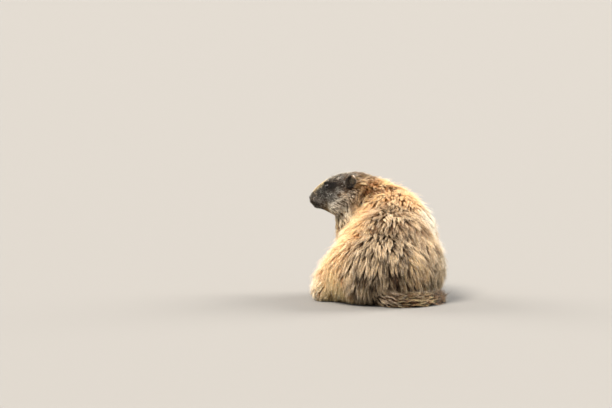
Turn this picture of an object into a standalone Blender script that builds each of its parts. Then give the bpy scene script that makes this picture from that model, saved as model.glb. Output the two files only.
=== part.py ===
"""Alpine marmot, life size, sitting hunched on the ground and looking over its left shoulder.

Metres, +Z up. The hind quarters face -Y, so the animal's left side is +X, and the floor is z = 0.
Every radius is measured to the tips of the coat.
"""

import math
import random

import bmesh
import bpy
from mathutils import Matrix, Vector
from mathutils.bvhtree import BVHTree

# Space that two touching nodes keep
GAP = 0.0003

# Body masses: centre, radii, heading in degrees to the animal's left
BODY_MASSES = {
    "rump": ((0.002, 0.074, 0.066), (0.100, 0.086, 0.072), 0),
    "loin": ((-0.014, 0.038, 0.098), (0.086, 0.084, 0.074), 4),
    "belly": ((-0.004, 0.005, 0.078), (0.096, 0.094, 0.084), 8),
    "ribcage": ((-0.018, -0.032, 0.112), (0.080, 0.092, 0.086), 25),
    "withers": ((-0.014, -0.072, 0.144), (0.062, 0.062, 0.060), 35),
    "chest": ((0.022, -0.094, 0.092), (0.058, 0.060, 0.068), 35),
    "jowl": ((0.064, -0.124, 0.148), (0.040, 0.043, 0.038), 0),
    "nape": ((0.018, -0.104, 0.168), (0.046, 0.046, 0.046), 30),
    "left_haunch": ((0.058, 0.030, 0.048), (0.058, 0.076, 0.053), 0),
    "right_haunch": ((-0.062, 0.032, 0.066), (0.056, 0.080, 0.070), 0),
}

# Joints of the skeleton
NECK_BASE = (0.016, -0.104, 0.156)
OCCIPUT = (0.048, -0.118, 0.176)
THROAT_TOP = (0.072, -0.122, 0.136)
THROAT_FOOT = (0.056, -0.108, 0.090)
SHOULDERS = {"left": (0.034, -0.056, 0.108), "right": (-0.036, -0.104, 0.108)}
ELBOWS = {"left": (0.056, -0.052, 0.062), "right": (-0.028, -0.122, 0.062)}
WRISTS = {"left": (0.074, -0.092, 0.022), "right": (0.000, -0.140, 0.022)}
HIPS = {"left": (0.046, 0.046, 0.074), "right": (-0.054, 0.050, 0.086)}
KNEES = {"left": (0.090, -0.004, 0.044), "right": (-0.080, -0.014, 0.056)}
HOCKS = {"left": (0.104, 0.050, 0.024), "right": (-0.076, 0.056, 0.026)}

# Limb radii, out to the tips of the coat
NECK_RADII = (0.059, 0.048)
THROAT_RADII = (0.030, 0.036)
SHOULDER_RADIUS = 0.036
ELBOW_RADIUS = 0.027
WRIST_RADIUS = 0.0155
HIP_RADII = {"left": 0.048, "right": 0.060}
KNEE_RADIUS = 0.036
HOCK_RADIUS = 0.026

# Surface of the body: grid of the blend, passes of smoothing and triangles kept
BODY_VOXEL = 0.0034
BODY_SMOOTHING = 60
BODY_TRIANGLES = 760

# How deep the cores of body and tail lie under the tips of the coat, and how high its locks rise
BODY_INSET = 0.0075
TAIL_INSET = 0.0050
TAIL_DEPTH = 0.0080
CHEEK_DEPTH = 0.0030
LIMB_INSET_SHARE = 0.20

# Midline of the back, from the crown to the root of the tail, from which the hair parts
MIDLINE = (
    (0.064, -0.128, 0.224),
    (0.010, -0.106, 0.208),
    (-0.016, -0.066, 0.202),
    (-0.014, -0.008, 0.188),
    (-0.010, 0.060, 0.160),
    (-0.002, 0.120, 0.122),
    (0.000, 0.156, 0.074),
    (0.000, 0.150, 0.034),
)
PARTING_WIDTH = 0.060
PARTING_PULL = 0.80
DROOP = 0.35

# Locks of the coat: space between roots, length, half width. Roots sink into the core.
# None grow low down, under the body, on the lower forelegs, over the hind feet or by the ears.
BODY_LOCK = (0.0290, 0.060, 0.0124)
CHEEK_LOCK = (0.0240, 0.028, 0.0066)
TAIL_LOCK = (0.0290, 0.046, 0.0095)
LOCK_SEED = 4
LOCK_TRIES = 6000
LOCK_SINK = 0.0045
LOWEST_LOCK = 0.032
HIDDEN_BELOW = -0.25
FOOT_CLEAR = (0.026, 0.050)
CHEEK_REGION = (-0.092, -0.048, 0.012)
CROWN_START = -0.088
EAR_CLEARANCE = 0.020

# Along a lock: its stations, then the height of its edges, the crest over them and its width
LOCK_STATIONS = (0.0, 0.24, 0.50, 0.78, 1.0)
LOCK_EDGES = (-1.0, -0.25, 0.02, 0.36, 0.72)
LOCK_CREST = (0.50, 0.90, 0.98, 0.60)
LOCK_WIDTHS = (0.60, 1.0, 0.92, 0.55)
LOCK_VARIATION = 0.18

# Locks near the head and near the ground are shorter, down to this share. A lock isn't made
# where one of its steps along the surface comes out shorter than the least share.
SHORTEST_SHARE = 0.50
FULL_COAT_REACH = 0.120
FULL_COAT_HEIGHT = 0.072
LEAST_STEP = 0.5

# The head points along +X, with its nose tip here
NOSE_TIP = (0.146, -0.128, 0.174)
HEAD_TURN = -4.0

# Sections of the head behind the nose tip: distance back, top, bottom and half width
HEAD_SECTIONS = (
    (0.001, 0.004, -0.007, 0.0065),
    (0.005, 0.0115, -0.0125, 0.0105),
    (0.010, 0.0175, -0.0150, 0.0140),
    (0.018, 0.0255, -0.0185, 0.0180),
    (0.028, 0.0335, -0.0225, 0.0220),
    (0.040, 0.0410, -0.0280, 0.0285),
    (0.052, 0.0465, -0.0335, 0.0350),
    (0.068, 0.0505, -0.0380, 0.0395),
    (0.086, 0.0500, -0.0400, 0.0410),
    (0.098, 0.0460, -0.0370, 0.0380),
    (0.110, 0.0350, -0.0300, 0.0290),
    (0.120, 0.0200, -0.0200, 0.0180),
)
SECTION_POINTS = 28
SECTION_POWER = 2.3
HEAD_VOXEL = 0.0013
HEAD_SMOOTHING = 9
HEAD_TRIANGLES = 1000

# Masses of the face, mirrored to both sides: place in the head's frame, radii
FACE_MASSES = {
    "muzzle_pad": ((-0.011, 0.0075, -0.0040), (0.0095, 0.0072, 0.0075)),
    "cheek": ((-0.060, 0.0225, -0.0080), (0.0240, 0.0180, 0.0240)),
    "brow": ((-0.038, 0.0178, 0.0312), (0.0120, 0.0062, 0.0046)),
    "chin": ((-0.018, 0.0030, -0.0140), (0.0110, 0.0080, 0.0062)),
}

# Eyes, lids and the slit between the lids
EYE_PLACE = (-0.0385, 0.0200, 0.0245)
EYE_RADIUS = 0.0065
LID_RADIUS = 0.0080
SLIT_RADII = (0.0056, 0.0040)
EYE_OUTWARD = (0.34, 0.90, 0.16)

# Ears: outer cup, and the hollow that opens it outwards and forwards
EAR_PLACE = (-0.083, 0.0345, 0.0360)
EAR_RADII = (0.0105, 0.0062, 0.0145)
EAR_HOLLOW = (0.0078, 0.0050, 0.0110)
EAR_HOLLOW_SHIFT = (0.0016, 0.0040, 0.0010)
EAR_TILT = (-18.0, -12.0, -28.0)

# Nose pad, its nostrils, and the line of the mouth
NOSE_PLACE = (-0.0035, 0.0, 0.0012)
NOSE_RADII = (0.0052, 0.0066, 0.0050)
NOSTRIL_PLACE = (0.0012, 0.0040, 0.0008)
NOSTRIL_RADII = (0.0022, 0.0013, 0.0017)
MOUTH_POINTS = (
    (0.0000, 0.0000, -0.0050),
    (-0.0035, 0.0045, -0.0090),
    (-0.0110, 0.0110, -0.0105),
    (-0.0190, 0.0165, -0.0105),
    (-0.0265, 0.0215, -0.0080),
)
MOUTH_RADIUS = 0.0009

# Feet: heel, heading in degrees from -Y to the animal's left, length, width, toes, claw length.
# The sinks go under the floor, which cuts them off flat.
FEET = {
    "forefoot_left": ((0.072, -0.086), 18, 0.052, 0.026, 4, 0.015),
    "forefoot_right": ((0.000, -0.134), 8, 0.052, 0.026, 4, 0.015),
    "hindfoot_left": ((0.100, 0.040), 14, 0.082, 0.030, 5, 0.011),
    "hindfoot_right": ((-0.078, 0.046), -8, 0.082, 0.030, 5, 0.011),
}
SOLE_RADIUS = 0.0088
SOLE_SINK = 0.0012
KNUCKLE_SHARES = (0.62, 0.26)
KNUCKLE_TAPER = 0.92
TOE_ROOT_SHARES = (0.58, 0.72)
TOE_RADII = (0.0062, 0.0048)
TOE_LIFT = 0.0010
TOE_SINK = 0.0006
TOE_ARC = 0.12
CLAW_SINK = 0.0010
CLAW_SPREAD = 1.1
CLAW_RADII = (0.0023, 0.0019, 0.0012)
CLAW_STATIONS = (0, 0.4, 0.75, 1)
CLAW_RISE = 0.0006
CLAW_DROP = 0.0036
CLAW_KEEL = 1.5
FOOT_VOXEL = 0.0012
FOOT_SMOOTHING = 4
FOOT_TRIANGLES = 170

# Tail, laid on the floor round the right haunch: points and radii
TAIL_POINTS = (
    (0.004, 0.118, 0.030),
    (-0.028, 0.142, 0.0170),
    (-0.064, 0.134, 0.0142),
    (-0.092, 0.106, 0.0138),
    (-0.106, 0.068, 0.0136),
    (-0.110, 0.034, 0.0110),
)
TAIL_RADII = (0.018, 0.0165, 0.0160, 0.0155, 0.0150, 0.0090)
TAIL_VOXEL = 0.0022
TAIL_SMOOTHING = 10
TAIL_TRIANGLES = 130
TAIL_CUTTER_TRIANGLES = 150

# Cuts between the nodes: a point on each plane and the way it faces
HEAD_CUT = ((0.0985, -0.120, 0.140), (0.84, 0.0, 0.54))
NECK_CUT = ((0.008, -0.098, 0.152), (0.72, -0.55, 0.41))
HINDLEG_CUTS = {
    "left": ((0.086, 0.018, 0.030), (0.050, 0.078, 0.072)),
    "right": ((-0.092, 0.020, 0.036), (0.050, 0.080, 0.078)),
}
FORELEG_CLEARANCE = 0.006
HULL_TRIANGLES = 60
HULL_CLEARANCE = 0.0009
TAIL_CLEARANCE = 0.0030
CUTTER_SIZE = 0.6

COLOURS = {
    "fur": (0.36, 0.24, 0.14, 0.92),
    "face": (0.20, 0.17, 0.13, 0.92),
    "dark": (0.10, 0.07, 0.05, 0.85),
    "eye": (0.012, 0.009, 0.007, 0.08),
    "nose": (0.035, 0.028, 0.026, 0.45),
}


def clear_scene():
    for obj in list(bpy.data.objects):
        bpy.data.objects.remove(obj)


def collection(name):
    made = bpy.data.collections.new(name)
    bpy.context.scene.collection.children.link(made)
    return made


def object_of(bm, name, holder):
    """Turns a bmesh into an object in a collection."""
    mesh = bpy.data.meshes.new(name)
    bm.to_mesh(mesh)
    bm.free()
    obj = bpy.data.objects.new(name, mesh)
    holder.objects.link(obj)
    return obj


def copy_of(obj, holder):
    made = bpy.data.objects.new(obj.name + "_copy", obj.data.copy())
    holder.objects.link(made)
    return made


def apply_modifiers(obj):
    """Replaces the object's mesh with its evaluated one."""
    graph = bpy.context.evaluated_depsgraph_get()
    mesh = bpy.data.meshes.new_from_object(obj.evaluated_get(graph))
    obj.modifiers.clear()
    obj.data = mesh
    return obj


def boolean(obj, operation, other, solver="EXACT"):
    """Joins or cuts with an object or with all objects of a collection, and removes them."""
    step = obj.modifiers.new(operation.lower(), "BOOLEAN")
    step.operation = operation
    step.solver = solver
    if isinstance(other, bpy.types.Collection):
        step.operand_type = "COLLECTION"
        step.collection = other
        used = list(other.objects)
    else:
        step.object = other
        used = [other]
    apply_modifiers(obj)
    for helper in used:
        bpy.data.objects.remove(helper)
    return obj


def largest_surface(obj):
    """Keeps the closed surface with the most volume, which drops scraps and sealed hollows."""
    bm = bmesh.new()
    bm.from_mesh(obj.data)
    bmesh.ops.triangulate(bm, faces=bm.faces[:])
    unseen = set(bm.verts)
    islands = []
    while unseen:
        island = {unseen.pop()}
        edge = list(island)
        while edge:
            near = {e.other_vert(v) for v in edge for e in v.link_edges} & unseen
            unseen -= near
            island |= near
            edge = list(near)
        faces = {f for v in island for f in v.link_faces}
        volume = sum(f.verts[0].co.dot(f.verts[1].co.cross(f.verts[2].co)) for f in faces)
        islands.append((volume, len(islands), island))
    islands.sort(key=lambda entry: entry[:2])
    dropped = [v for entry in islands[:-1] for v in entry[2]]
    bmesh.ops.delete(bm, geom=dropped, context="VERTS")
    bm.to_mesh(obj.data)
    bm.free()
    return obj


def add_ellipsoid(bm, place, radii, detail=4):
    shape = place @ Matrix.Diagonal((*radii, 1.0))
    bmesh.ops.create_icosphere(bm, subdivisions=detail, radius=1.0, matrix=shape)


def add_taper(bm, start, end, start_radius, end_radius, detail=3):
    """A closed limb segment: the hull of a ball at each end."""
    hull = bmesh.new()
    for centre, radius in ((start, start_radius), (end, end_radius)):
        bmesh.ops.create_icosphere(
            hull, subdivisions=detail, radius=radius, matrix=Matrix.Translation(centre)
        )
    bmesh.ops.delete(hull, geom=hull.edges[:], context="EDGES_FACES")
    bmesh.ops.convex_hull(hull, input=hull.verts[:])
    loose = [v for v in hull.verts if not v.link_faces]
    bmesh.ops.delete(hull, geom=loose, context="VERTS")
    mesh = bpy.data.meshes.new("taper")
    hull.to_mesh(mesh)
    hull.free()
    bm.from_mesh(mesh)
    bpy.data.meshes.remove(mesh)


def blended(obj, voxel, smoothing, triangles):
    """Melts the closed shapes of an object into one surface with about so many triangles."""
    remesh = obj.modifiers.new("blend", "REMESH")
    remesh.mode = "VOXEL"
    remesh.voxel_size = voxel
    smooth = obj.modifiers.new("smooth", "SMOOTH")
    smooth.factor = 0.5
    smooth.iterations = smoothing
    apply_modifiers(obj)
    return thinned(obj, triangles)


def thinned(obj, triangles):
    faces = sum(len(p.vertices) - 2 for p in obj.data.polygons)
    decimate = obj.modifiers.new("thin", "DECIMATE")
    decimate.ratio = min(1.0, triangles / faces)
    decimate.use_collapse_triangulate = True
    return apply_modifiers(obj)


def grown(obj, amount):
    """Moves a smooth closed surface outwards."""
    move = obj.modifiers.new("grow", "DISPLACE")
    move.strength = amount
    move.mid_level = 0.0
    return apply_modifiers(obj)


def half_space(cut, holder, shift=0.0):
    """A block whose face passes through the cut's point, filling the side that it faces."""
    point, facing = Vector(cut[0]), Vector(cut[1]).normalized()
    bm = bmesh.new()
    centre = point + facing * (CUTTER_SIZE / 2 + shift)
    turn = facing.to_track_quat("Z", "Y").to_matrix().to_4x4()
    bmesh.ops.create_cube(bm, size=CUTTER_SIZE, matrix=Matrix.Translation(centre) @ turn)
    return object_of(bm, "half_space", holder)


def body_form(holder, inset):
    """The trunk, neck and legs as one blended surface, inset from the tips but for its underside."""
    bm = bmesh.new()
    settled = Vector((0, 0, -inset / 2))
    for centre, radii, heading in BODY_MASSES.values():
        place = Matrix.Translation(Vector(centre) + settled)
        place = place @ Matrix.Rotation(math.radians(heading), 4, "Z")
        add_ellipsoid(bm, place, (radii[0] - inset, radii[1] - inset, radii[2] - inset / 2))
    necks = (
        (BODY_MASSES["withers"][0], NECK_BASE, NECK_RADII[0], NECK_RADII[0]),
        (NECK_BASE, OCCIPUT, NECK_RADII[0], NECK_RADII[1]),
        (THROAT_TOP, THROAT_FOOT, *THROAT_RADII),
    )
    for start, end, *radii in necks:
        add_taper(bm, start, end, *(r - inset for r in radii))
    legs = []
    for side in ("left", "right"):
        legs += [
            (SHOULDERS[side], ELBOWS[side], SHOULDER_RADIUS, ELBOW_RADIUS),
            (ELBOWS[side], WRISTS[side], ELBOW_RADIUS, WRIST_RADIUS),
            (HIPS[side], KNEES[side], HIP_RADII[side], KNEE_RADIUS),
            (KNEES[side], HOCKS[side], KNEE_RADIUS, HOCK_RADIUS),
        ]
    for start, end, *radii in legs:
        inner = [r - min(inset, r * LIMB_INSET_SHARE) for r in radii]
        ends = [Vector(p) + Vector((0, 0, i - r)) for p, r, i in zip((start, end), radii, inner)]
        add_taper(bm, *ends, *inner)
    obj = object_of(bm, "body_form", holder)
    return blended(obj, BODY_VOXEL, BODY_SMOOTHING, BODY_TRIANGLES)


def lie_at(point, normal):
    """The way the hair lies: along the back, parting from its midline, and down."""
    legs = list(zip(MIDLINE, MIDLINE[1:]))
    best = None
    for start, end in legs:
        start, end = Vector(start), Vector(end)
        along = end - start
        share = max(0.0, min(1.0, (point - start).dot(along) / along.length_squared))
        apart = point - (start + along * share)
        if best is None or apart.length < best[0]:
            best = (apart.length, apart, along.normalized())
    distance, apart, along = best
    pull = PARTING_PULL * min(1.0, distance / PARTING_WIDTH)
    flow = along + apart.normalized() * pull - Vector((0, 0, DROOP))
    flow -= normal * flow.dot(normal)
    return flow.normalized()


def tail_lie_at(point, normal):
    """Along the tail, towards its tip."""
    legs = list(zip(TAIL_POINTS, TAIL_POINTS[1:]))
    nearest = min(legs, key=lambda leg: (point - (Vector(leg[0]) + Vector(leg[1])) / 2).length)
    flow = Vector(nearest[1]) - Vector(nearest[0])
    flow -= normal * flow.dot(normal)
    return flow.normalized()


def length_share(point):
    """Short coat near the head and the ground, full length elsewhere."""
    from_head = (point - Vector(OCCIPUT)).length / FULL_COAT_REACH
    from_floor = point.z / FULL_COAT_HEIGHT
    return SHORTEST_SHARE + (1 - SHORTEST_SHARE) * min(1.0, from_head, from_floor)


def on_foreleg(point):
    """Near the lower forelegs, whose coat is short."""
    for side in ("left", "right"):
        elbow, wrist = Vector(ELBOWS[side]), Vector(WRISTS[side])
        share = (point - elbow).dot(wrist - elbow) / (wrist - elbow).length_squared
        nearest = elbow + (wrist - elbow) * max(0.0, min(1.0, share))
        if (point - nearest).length < ELBOW_RADIUS + FORELEG_CLEARANCE:
            return True
    return False


def over_hindfoot(point):
    """Just above a hind foot, where a lock would run into it."""
    for name in ("hindfoot_left", "hindfoot_right"):
        place = foot_frame(name).inverted() @ point
        if 0 < place.x < FEET[name][2] and abs(place.y) < FOOT_CLEAR[0] and place.z < FOOT_CLEAR[1]:
            return True
    return False


def bears_long_coat(point, normal):
    """The body outside the head, the feet and what the floor or the belly hides."""
    if point.z < LOWEST_LOCK or normal.z < HIDDEN_BELOW:
        return False
    if on_foreleg(point) or over_hindfoot(point):
        return False
    facing = Vector(HEAD_CUT[1]).normalized()
    return (point - Vector(HEAD_CUT[0])).dot(facing) < 0


def is_cheek(point, normal):
    """The head below the eyes and behind the ears, clear of the ears."""
    place = head_frame().inverted() @ point
    if any((place - mirrored(EAR_PLACE, side)).length < EAR_CLEARANCE for side in (1, -1)):
        return False
    if place.x < CROWN_START:
        return place.z > CHEEK_REGION[2]
    return CHEEK_REGION[0] < place.x < CHEEK_REGION[1] and place.z < CHEEK_REGION[2]


def is_free_tail(point, normal):
    """The tail where it has left the rump, on the sides that the floor leaves free."""
    return normal.z > HIDDEN_BELOW and point.y > TAIL_POINTS[-1][1]


def roots_on(core, spacing, wanted, rng):
    """Roots spread evenly over the wanted part of a surface, with their normals."""
    mesh = core.data
    mesh.calc_loop_triangles()
    corners = [[mesh.vertices[i].co for i in t.vertices] for t in mesh.loop_triangles]
    areas = [(b - a).cross(c - a).length for a, b, c in corners]
    picks = rng.choices(range(len(corners)), weights=areas, k=LOCK_TRIES)
    roots = []
    for pick in picks:
        a, b, c = corners[pick]
        u, v = rng.random(), rng.random()
        if u + v > 1:
            u, v = 1 - u, 1 - v
        point = a + (b - a) * u + (c - a) * v
        normal = (b - a).cross(c - a).normalized()
        if not wanted(point, normal):
            continue
        apart = spacing * (1 + length_share(point)) / 2
        if all((point - other[0]).length > apart for other in roots):
            roots.append((point, normal))
    return roots


def lock(surface, root, sizes, depth, lie, rng, holder):
    """One flat lock: sunk at its root, it rises out of the core and lies along the coat.

    None is made where the surface turns back under it before its end.
    """
    share = length_share(root) * (1 + LOCK_VARIATION * rng.uniform(-1, 1))
    length, half_width = (size * share for size in sizes[1:])
    depth *= (1 + share) / 2
    swing = rng.uniform(-LOCK_VARIATION, LOCK_VARIATION)
    place = root
    points, sides, ups = [], [], []
    last = 0.0
    for station, edge in zip(LOCK_STATIONS, LOCK_EDGES):
        _, normal, _, _ = surface.find_nearest(place)
        flow = lie(place, normal)
        flow = (flow + flow.cross(normal) * swing).normalized()
        step = length * (station - last)
        ahead, normal, _, _ = surface.find_nearest(place + flow * step)
        if (ahead - place).length < step * LEAST_STEP:
            return
        place = ahead
        last = station
        height = edge * (depth if edge > 0 else LOCK_SINK)
        points.append(place + normal * height)
        sides.append(flow.cross(normal).normalized())
        ups.append(normal)
    widths = [half_width * w for w in LOCK_WIDTHS]
    heights = [depth * c for c in LOCK_CREST]
    blade(points, sides, ups, widths, heights, holder, "lock")


def coat(core, sizes, depth, lie, wanted, rng, holder):
    """Locks all over the wanted part of a core."""
    bm = bmesh.new()
    bm.from_mesh(core.data)
    surface = BVHTree.FromBMesh(bm)
    bm.free()
    for root, _ in roots_on(core, sizes[0], wanted, rng):
        lock(surface, root, sizes, depth, lie, rng, holder)


def head_frame():
    return Matrix.Translation(NOSE_TIP) @ Matrix.Rotation(math.radians(HEAD_TURN), 4, "Z")


def mirrored(point, side):
    return Vector((point[0], point[1] * side, point[2]))


def section_point(section, angle):
    """A point of a rounded section of the head, in the head's frame."""
    back, top, bottom, half_width = section
    power = 2.0 / SECTION_POWER
    across = math.copysign(abs(math.cos(angle)) ** power, math.cos(angle))
    upwards = math.copysign(abs(math.sin(angle)) ** power, math.sin(angle))
    height = (top + bottom) / 2 + upwards * (top - bottom) / 2
    return Vector((-back, across * half_width, height))


def add_head_loft(bm, frame):
    """A closed loft through the head's sections."""
    rings = []
    for section in HEAD_SECTIONS:
        angles = [2 * math.pi * i / SECTION_POINTS for i in range(SECTION_POINTS)]
        rings.append([bm.verts.new(frame @ section_point(section, a)) for a in angles])
    for front, back in zip(rings, rings[1:]):
        for i in range(SECTION_POINTS):
            j = (i + 1) % SECTION_POINTS
            bm.faces.new((front[i], front[j], back[j], back[i]))
    bm.faces.new(rings[0][::-1])
    bm.faces.new(rings[-1])
    bmesh.ops.recalc_face_normals(bm, faces=bm.faces[:])


def head_form(holder):
    """The head with cheeks, brows, lips and chin, before its openings are cut."""
    frame = head_frame()
    bm = bmesh.new()
    add_head_loft(bm, frame)
    for centre, radii in FACE_MASSES.values():
        for side in (1, -1):
            place = frame @ Matrix.Translation(mirrored(centre, side))
            add_ellipsoid(bm, place, radii, 3)
    obj = object_of(bm, "head_form", holder)
    return blended(obj, HEAD_VOXEL, HEAD_SMOOTHING, HEAD_TRIANGLES)


def eye_frame(side):
    """The eye's place, with its X along the slit and its Y outwards."""
    outward = mirrored(EYE_OUTWARD, side).normalized()
    along = outward.cross(Vector((0, 0, 1))).normalized()
    up = along.cross(outward)
    turn = Matrix((along, outward, up)).transposed().to_4x4()
    place = Matrix.Translation(mirrored(EYE_PLACE, side))
    return head_frame() @ place @ turn


def ball(name, holder, place, radii, segments=14, rings=8):
    bm = bmesh.new()
    shape = place @ Matrix.Diagonal((*radii, 1.0))
    bmesh.ops.create_uvsphere(
        bm, u_segments=segments, v_segments=rings, radius=1.0, matrix=shape
    )
    return object_of(bm, name, holder)


def eye(name, side, head, parts, helpers):
    """An eyeball, and the lids round it in the head."""
    place = eye_frame(side)
    boolean(head, "UNION", ball("lids", helpers, place, [LID_RADIUS] * 3))
    boolean(head, "DIFFERENCE", ball("socket", helpers, place, [EYE_RADIUS + GAP] * 3))
    opening = place @ Matrix.Translation((0, LID_RADIUS, 0))
    slit = (SLIT_RADII[0], LID_RADIUS, SLIT_RADII[1])
    boolean(head, "DIFFERENCE", ball("slit", helpers, opening, slit))
    return ball(name, parts, place, [EYE_RADIUS] * 3)


def ear(name, side, whole, parts, helpers):
    """A short rounded cup, its root in a pocket of the head."""
    place = head_frame() @ Matrix.Translation(mirrored(EAR_PLACE, side))
    for angle, axis in zip(EAR_TILT, "XYZ"):
        mirror = -side if axis in "XZ" else 1
        place = place @ Matrix.Rotation(math.radians(angle * mirror), 4, axis)
    obj = ball(name, parts, place, EAR_RADII)
    hollow = place @ Matrix.Translation(mirrored(EAR_HOLLOW_SHIFT, side))
    boolean(obj, "DIFFERENCE", ball("hollow", helpers, hollow, EAR_HOLLOW, 12, 6))
    pocket = ball("pocket", helpers, place, [r + GAP for r in EAR_RADII])
    boolean(whole, "DIFFERENCE", pocket, "MANIFOLD")
    return obj


def nose(head, parts, helpers):
    """The nose pad with its two nostrils, set into the head."""
    place = head_frame() @ Matrix.Translation(NOSE_PLACE)
    obj = ball("nose", parts, place, NOSE_RADII)
    for side in (1, -1):
        hole = head_frame() @ Matrix.Translation(mirrored(NOSTRIL_PLACE, side))
        boolean(obj, "DIFFERENCE", ball("nostril", helpers, hole, NOSTRIL_RADII, 8, 6))
    pocket = ball("pocket", helpers, place, [r + GAP for r in NOSE_RADII])
    boolean(head, "DIFFERENCE", pocket)
    return obj


def tube(points, radius, holder, name):
    """A closed mesh tube along a smooth curve."""
    curve = bpy.data.curves.new(name, "CURVE")
    curve.dimensions = "3D"
    curve.bevel_depth = radius
    curve.bevel_resolution = 0
    curve.resolution_u = 3
    curve.use_fill_caps = True
    spline = curve.splines.new("BEZIER")
    spline.bezier_points.add(len(points) - 1)
    for knot, point in zip(spline.bezier_points, points):
        knot.co = point
        knot.handle_left_type = "AUTO"
        knot.handle_right_type = "AUTO"
    guide = bpy.data.objects.new(name, curve)
    holder.objects.link(guide)
    graph = bpy.context.evaluated_depsgraph_get()
    mesh = bpy.data.meshes.new_from_object(guide.evaluated_get(graph))
    bpy.data.objects.remove(guide)
    bm = bmesh.new()
    bm.from_mesh(mesh)
    bmesh.ops.remove_doubles(bm, verts=bm.verts[:], dist=1e-6)
    bmesh.ops.recalc_face_normals(bm, faces=bm.faces[:])
    return object_of(bm, name, holder)


def mouth(head, helpers):
    """The line of the mouth, from under the nose to its corners."""
    right = [mirrored(p, -1) for p in MOUTH_POINTS[:0:-1]]
    points = [head_frame() @ Vector(p) for p in (*right, *MOUTH_POINTS)]
    boolean(head, "DIFFERENCE", tube(points, MOUTH_RADIUS, helpers, "mouth"))


def foot_frame(name):
    heel, heading = FEET[name][:2]
    turn = Matrix.Rotation(math.radians(heading - 90), 4, "Z")
    return Matrix.Translation((*heel, 0.0)) @ turn


def toe_tips(name):
    """Where each toe ends, in the foot's frame: the middle ones reach furthest."""
    length, width, toes = FEET[name][2:5]
    tips = []
    for i in range(toes):
        across = 2 * i / (toes - 1) - 1
        reach = length * (1 - TOE_ARC * across * across)
        tips.append(Vector((reach, across * width / 2, TOE_RADII[1] - TOE_SINK)))
    return tips


def foot_form(name, holder):
    """Sole, ball and toes of one foot, flat below."""
    frame = foot_frame(name)
    length, width = FEET[name][2:4]
    radii = (SOLE_RADIUS, SOLE_RADIUS * KNUCKLE_TAPER)
    heel = Vector((radii[0], 0.0, radii[0] - SOLE_SINK))
    forwards, sideways = KNUCKLE_SHARES
    bm = bmesh.new()
    for side in (1, -1):
        knuckle = Vector((length * forwards, side * width * sideways, radii[0] - SOLE_SINK))
        add_taper(bm, frame @ heel, frame @ knuckle, *radii, 2)
    for tip in toe_tips(name):
        forwards, sideways = TOE_ROOT_SHARES
        root = Vector((length * forwards, tip.y * sideways, TOE_RADII[0] + TOE_LIFT))
        add_taper(bm, frame @ root, frame @ tip, *TOE_RADII, 2)
    obj = object_of(bm, name + "_form", holder)
    return blended(obj, FOOT_VOXEL, FOOT_SMOOTHING, FOOT_TRIANGLES)


def blade(points, sides, ups, widths, heights, holder, name):
    """A closed tapered blade along some points: a ridge above, and one point at its end."""
    bm = bmesh.new()
    rings = []
    for point, side, up, width, height in zip(points[:-1], sides, ups, widths, heights):
        corners = (side * width, up * height, -side * width)
        rings.append([bm.verts.new(point + corner) for corner in corners])
    tip = bm.verts.new(points[-1])
    for i in range(3):
        j = (i + 1) % 3
        for near, far in zip(rings, rings[1:]):
            bm.faces.new((near[i], near[j], far[j]))
            bm.faces.new((near[i], far[j], far[i]))
        bm.faces.new((rings[-1][i], rings[-1][j], tip))
    bm.faces.new(rings[0][::-1])
    bmesh.ops.recalc_face_normals(bm, faces=bm.faces[:])
    return object_of(bm, name, holder)


def claws(name, holder):
    """Curved claws, one on each toe, that end just above the floor."""
    frame = foot_frame(name)
    claw_length = FEET[name][5]
    up = Vector((0, 0, 1))
    turn = frame.to_3x3()
    made = []
    for tip in toe_tips(name):
        out = Vector((tip.x, tip.y * CLAW_SPREAD, 0)).normalized()
        side = turn @ up.cross(out)
        root = tip + out * CLAW_SINK + up * CLAW_RISE
        points = [root + out * claw_length * t - up * CLAW_DROP * t * t for t in CLAW_STATIONS]
        points = [frame @ p for p in points]
        heights = [r * CLAW_KEEL for r in CLAW_RADII]
        made.append(blade(points, [side] * 3, [up] * 3, CLAW_RADII, heights, holder, "claw"))
    return made


def tail_form(holder, extra, lift, triangles):
    """The tail with so much added to its radii, raised by the lift."""
    bm = bmesh.new()
    pairs = list(zip(TAIL_POINTS, TAIL_RADII))
    for (start, start_radius), (end, end_radius) in zip(pairs, pairs[1:]):
        ends = [Vector(p) + Vector((0, 0, lift)) for p in (start, end)]
        add_taper(bm, *ends, start_radius + extra, end_radius + extra)
    obj = object_of(bm, "tail_form", holder)
    return blended(obj, TAIL_VOXEL, TAIL_SMOOTHING, triangles)


def parted(whole, name, cutter, grown_cutter, parts):
    """Takes what lies in the cutter off the whole, as a node, and leaves a gap round it.

    The MANIFOLD solver keeps every surface closed where locks cross, which EXACT doesn't.
    """
    piece = copy_of(whole, parts)
    piece.name = name
    boolean(piece, "INTERSECT", cutter, "MANIFOLD")
    boolean(whole, "DIFFERENCE", grown_cutter, "MANIFOLD")
    return largest_surface(piece)


def hindleg_cutter(side, holder, extra):
    centre, radii = HINDLEG_CUTS[side]
    place = Matrix.Translation(centre)
    return ball("hindleg_cutter", holder, place, [r + extra for r in radii], 16, 9)


def foreleg_cutter(side, holder, extra):
    clear = FORELEG_CLEARANCE + extra
    bm = bmesh.new()
    add_taper(bm, ELBOWS[side], WRISTS[side], ELBOW_RADIUS + clear, WRIST_RADIUS + clear, 2)
    return object_of(bm, "foreleg_cutter", holder)


def hull_of(objects, holder, extra):
    """A convex cutter round some objects, so much larger on every side."""
    bm = bmesh.new()
    for obj in objects:
        bm.from_mesh(obj.data)
    bmesh.ops.delete(bm, geom=bm.edges[:], context="EDGES_FACES")
    bmesh.ops.convex_hull(bm, input=bm.verts[:])
    loose = [v for v in bm.verts if not v.link_faces]
    bmesh.ops.delete(bm, geom=loose, context="VERTS")
    hull = thinned(object_of(bm, "hull", holder), HULL_TRIANGLES)
    return grown(hull, extra)


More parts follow.
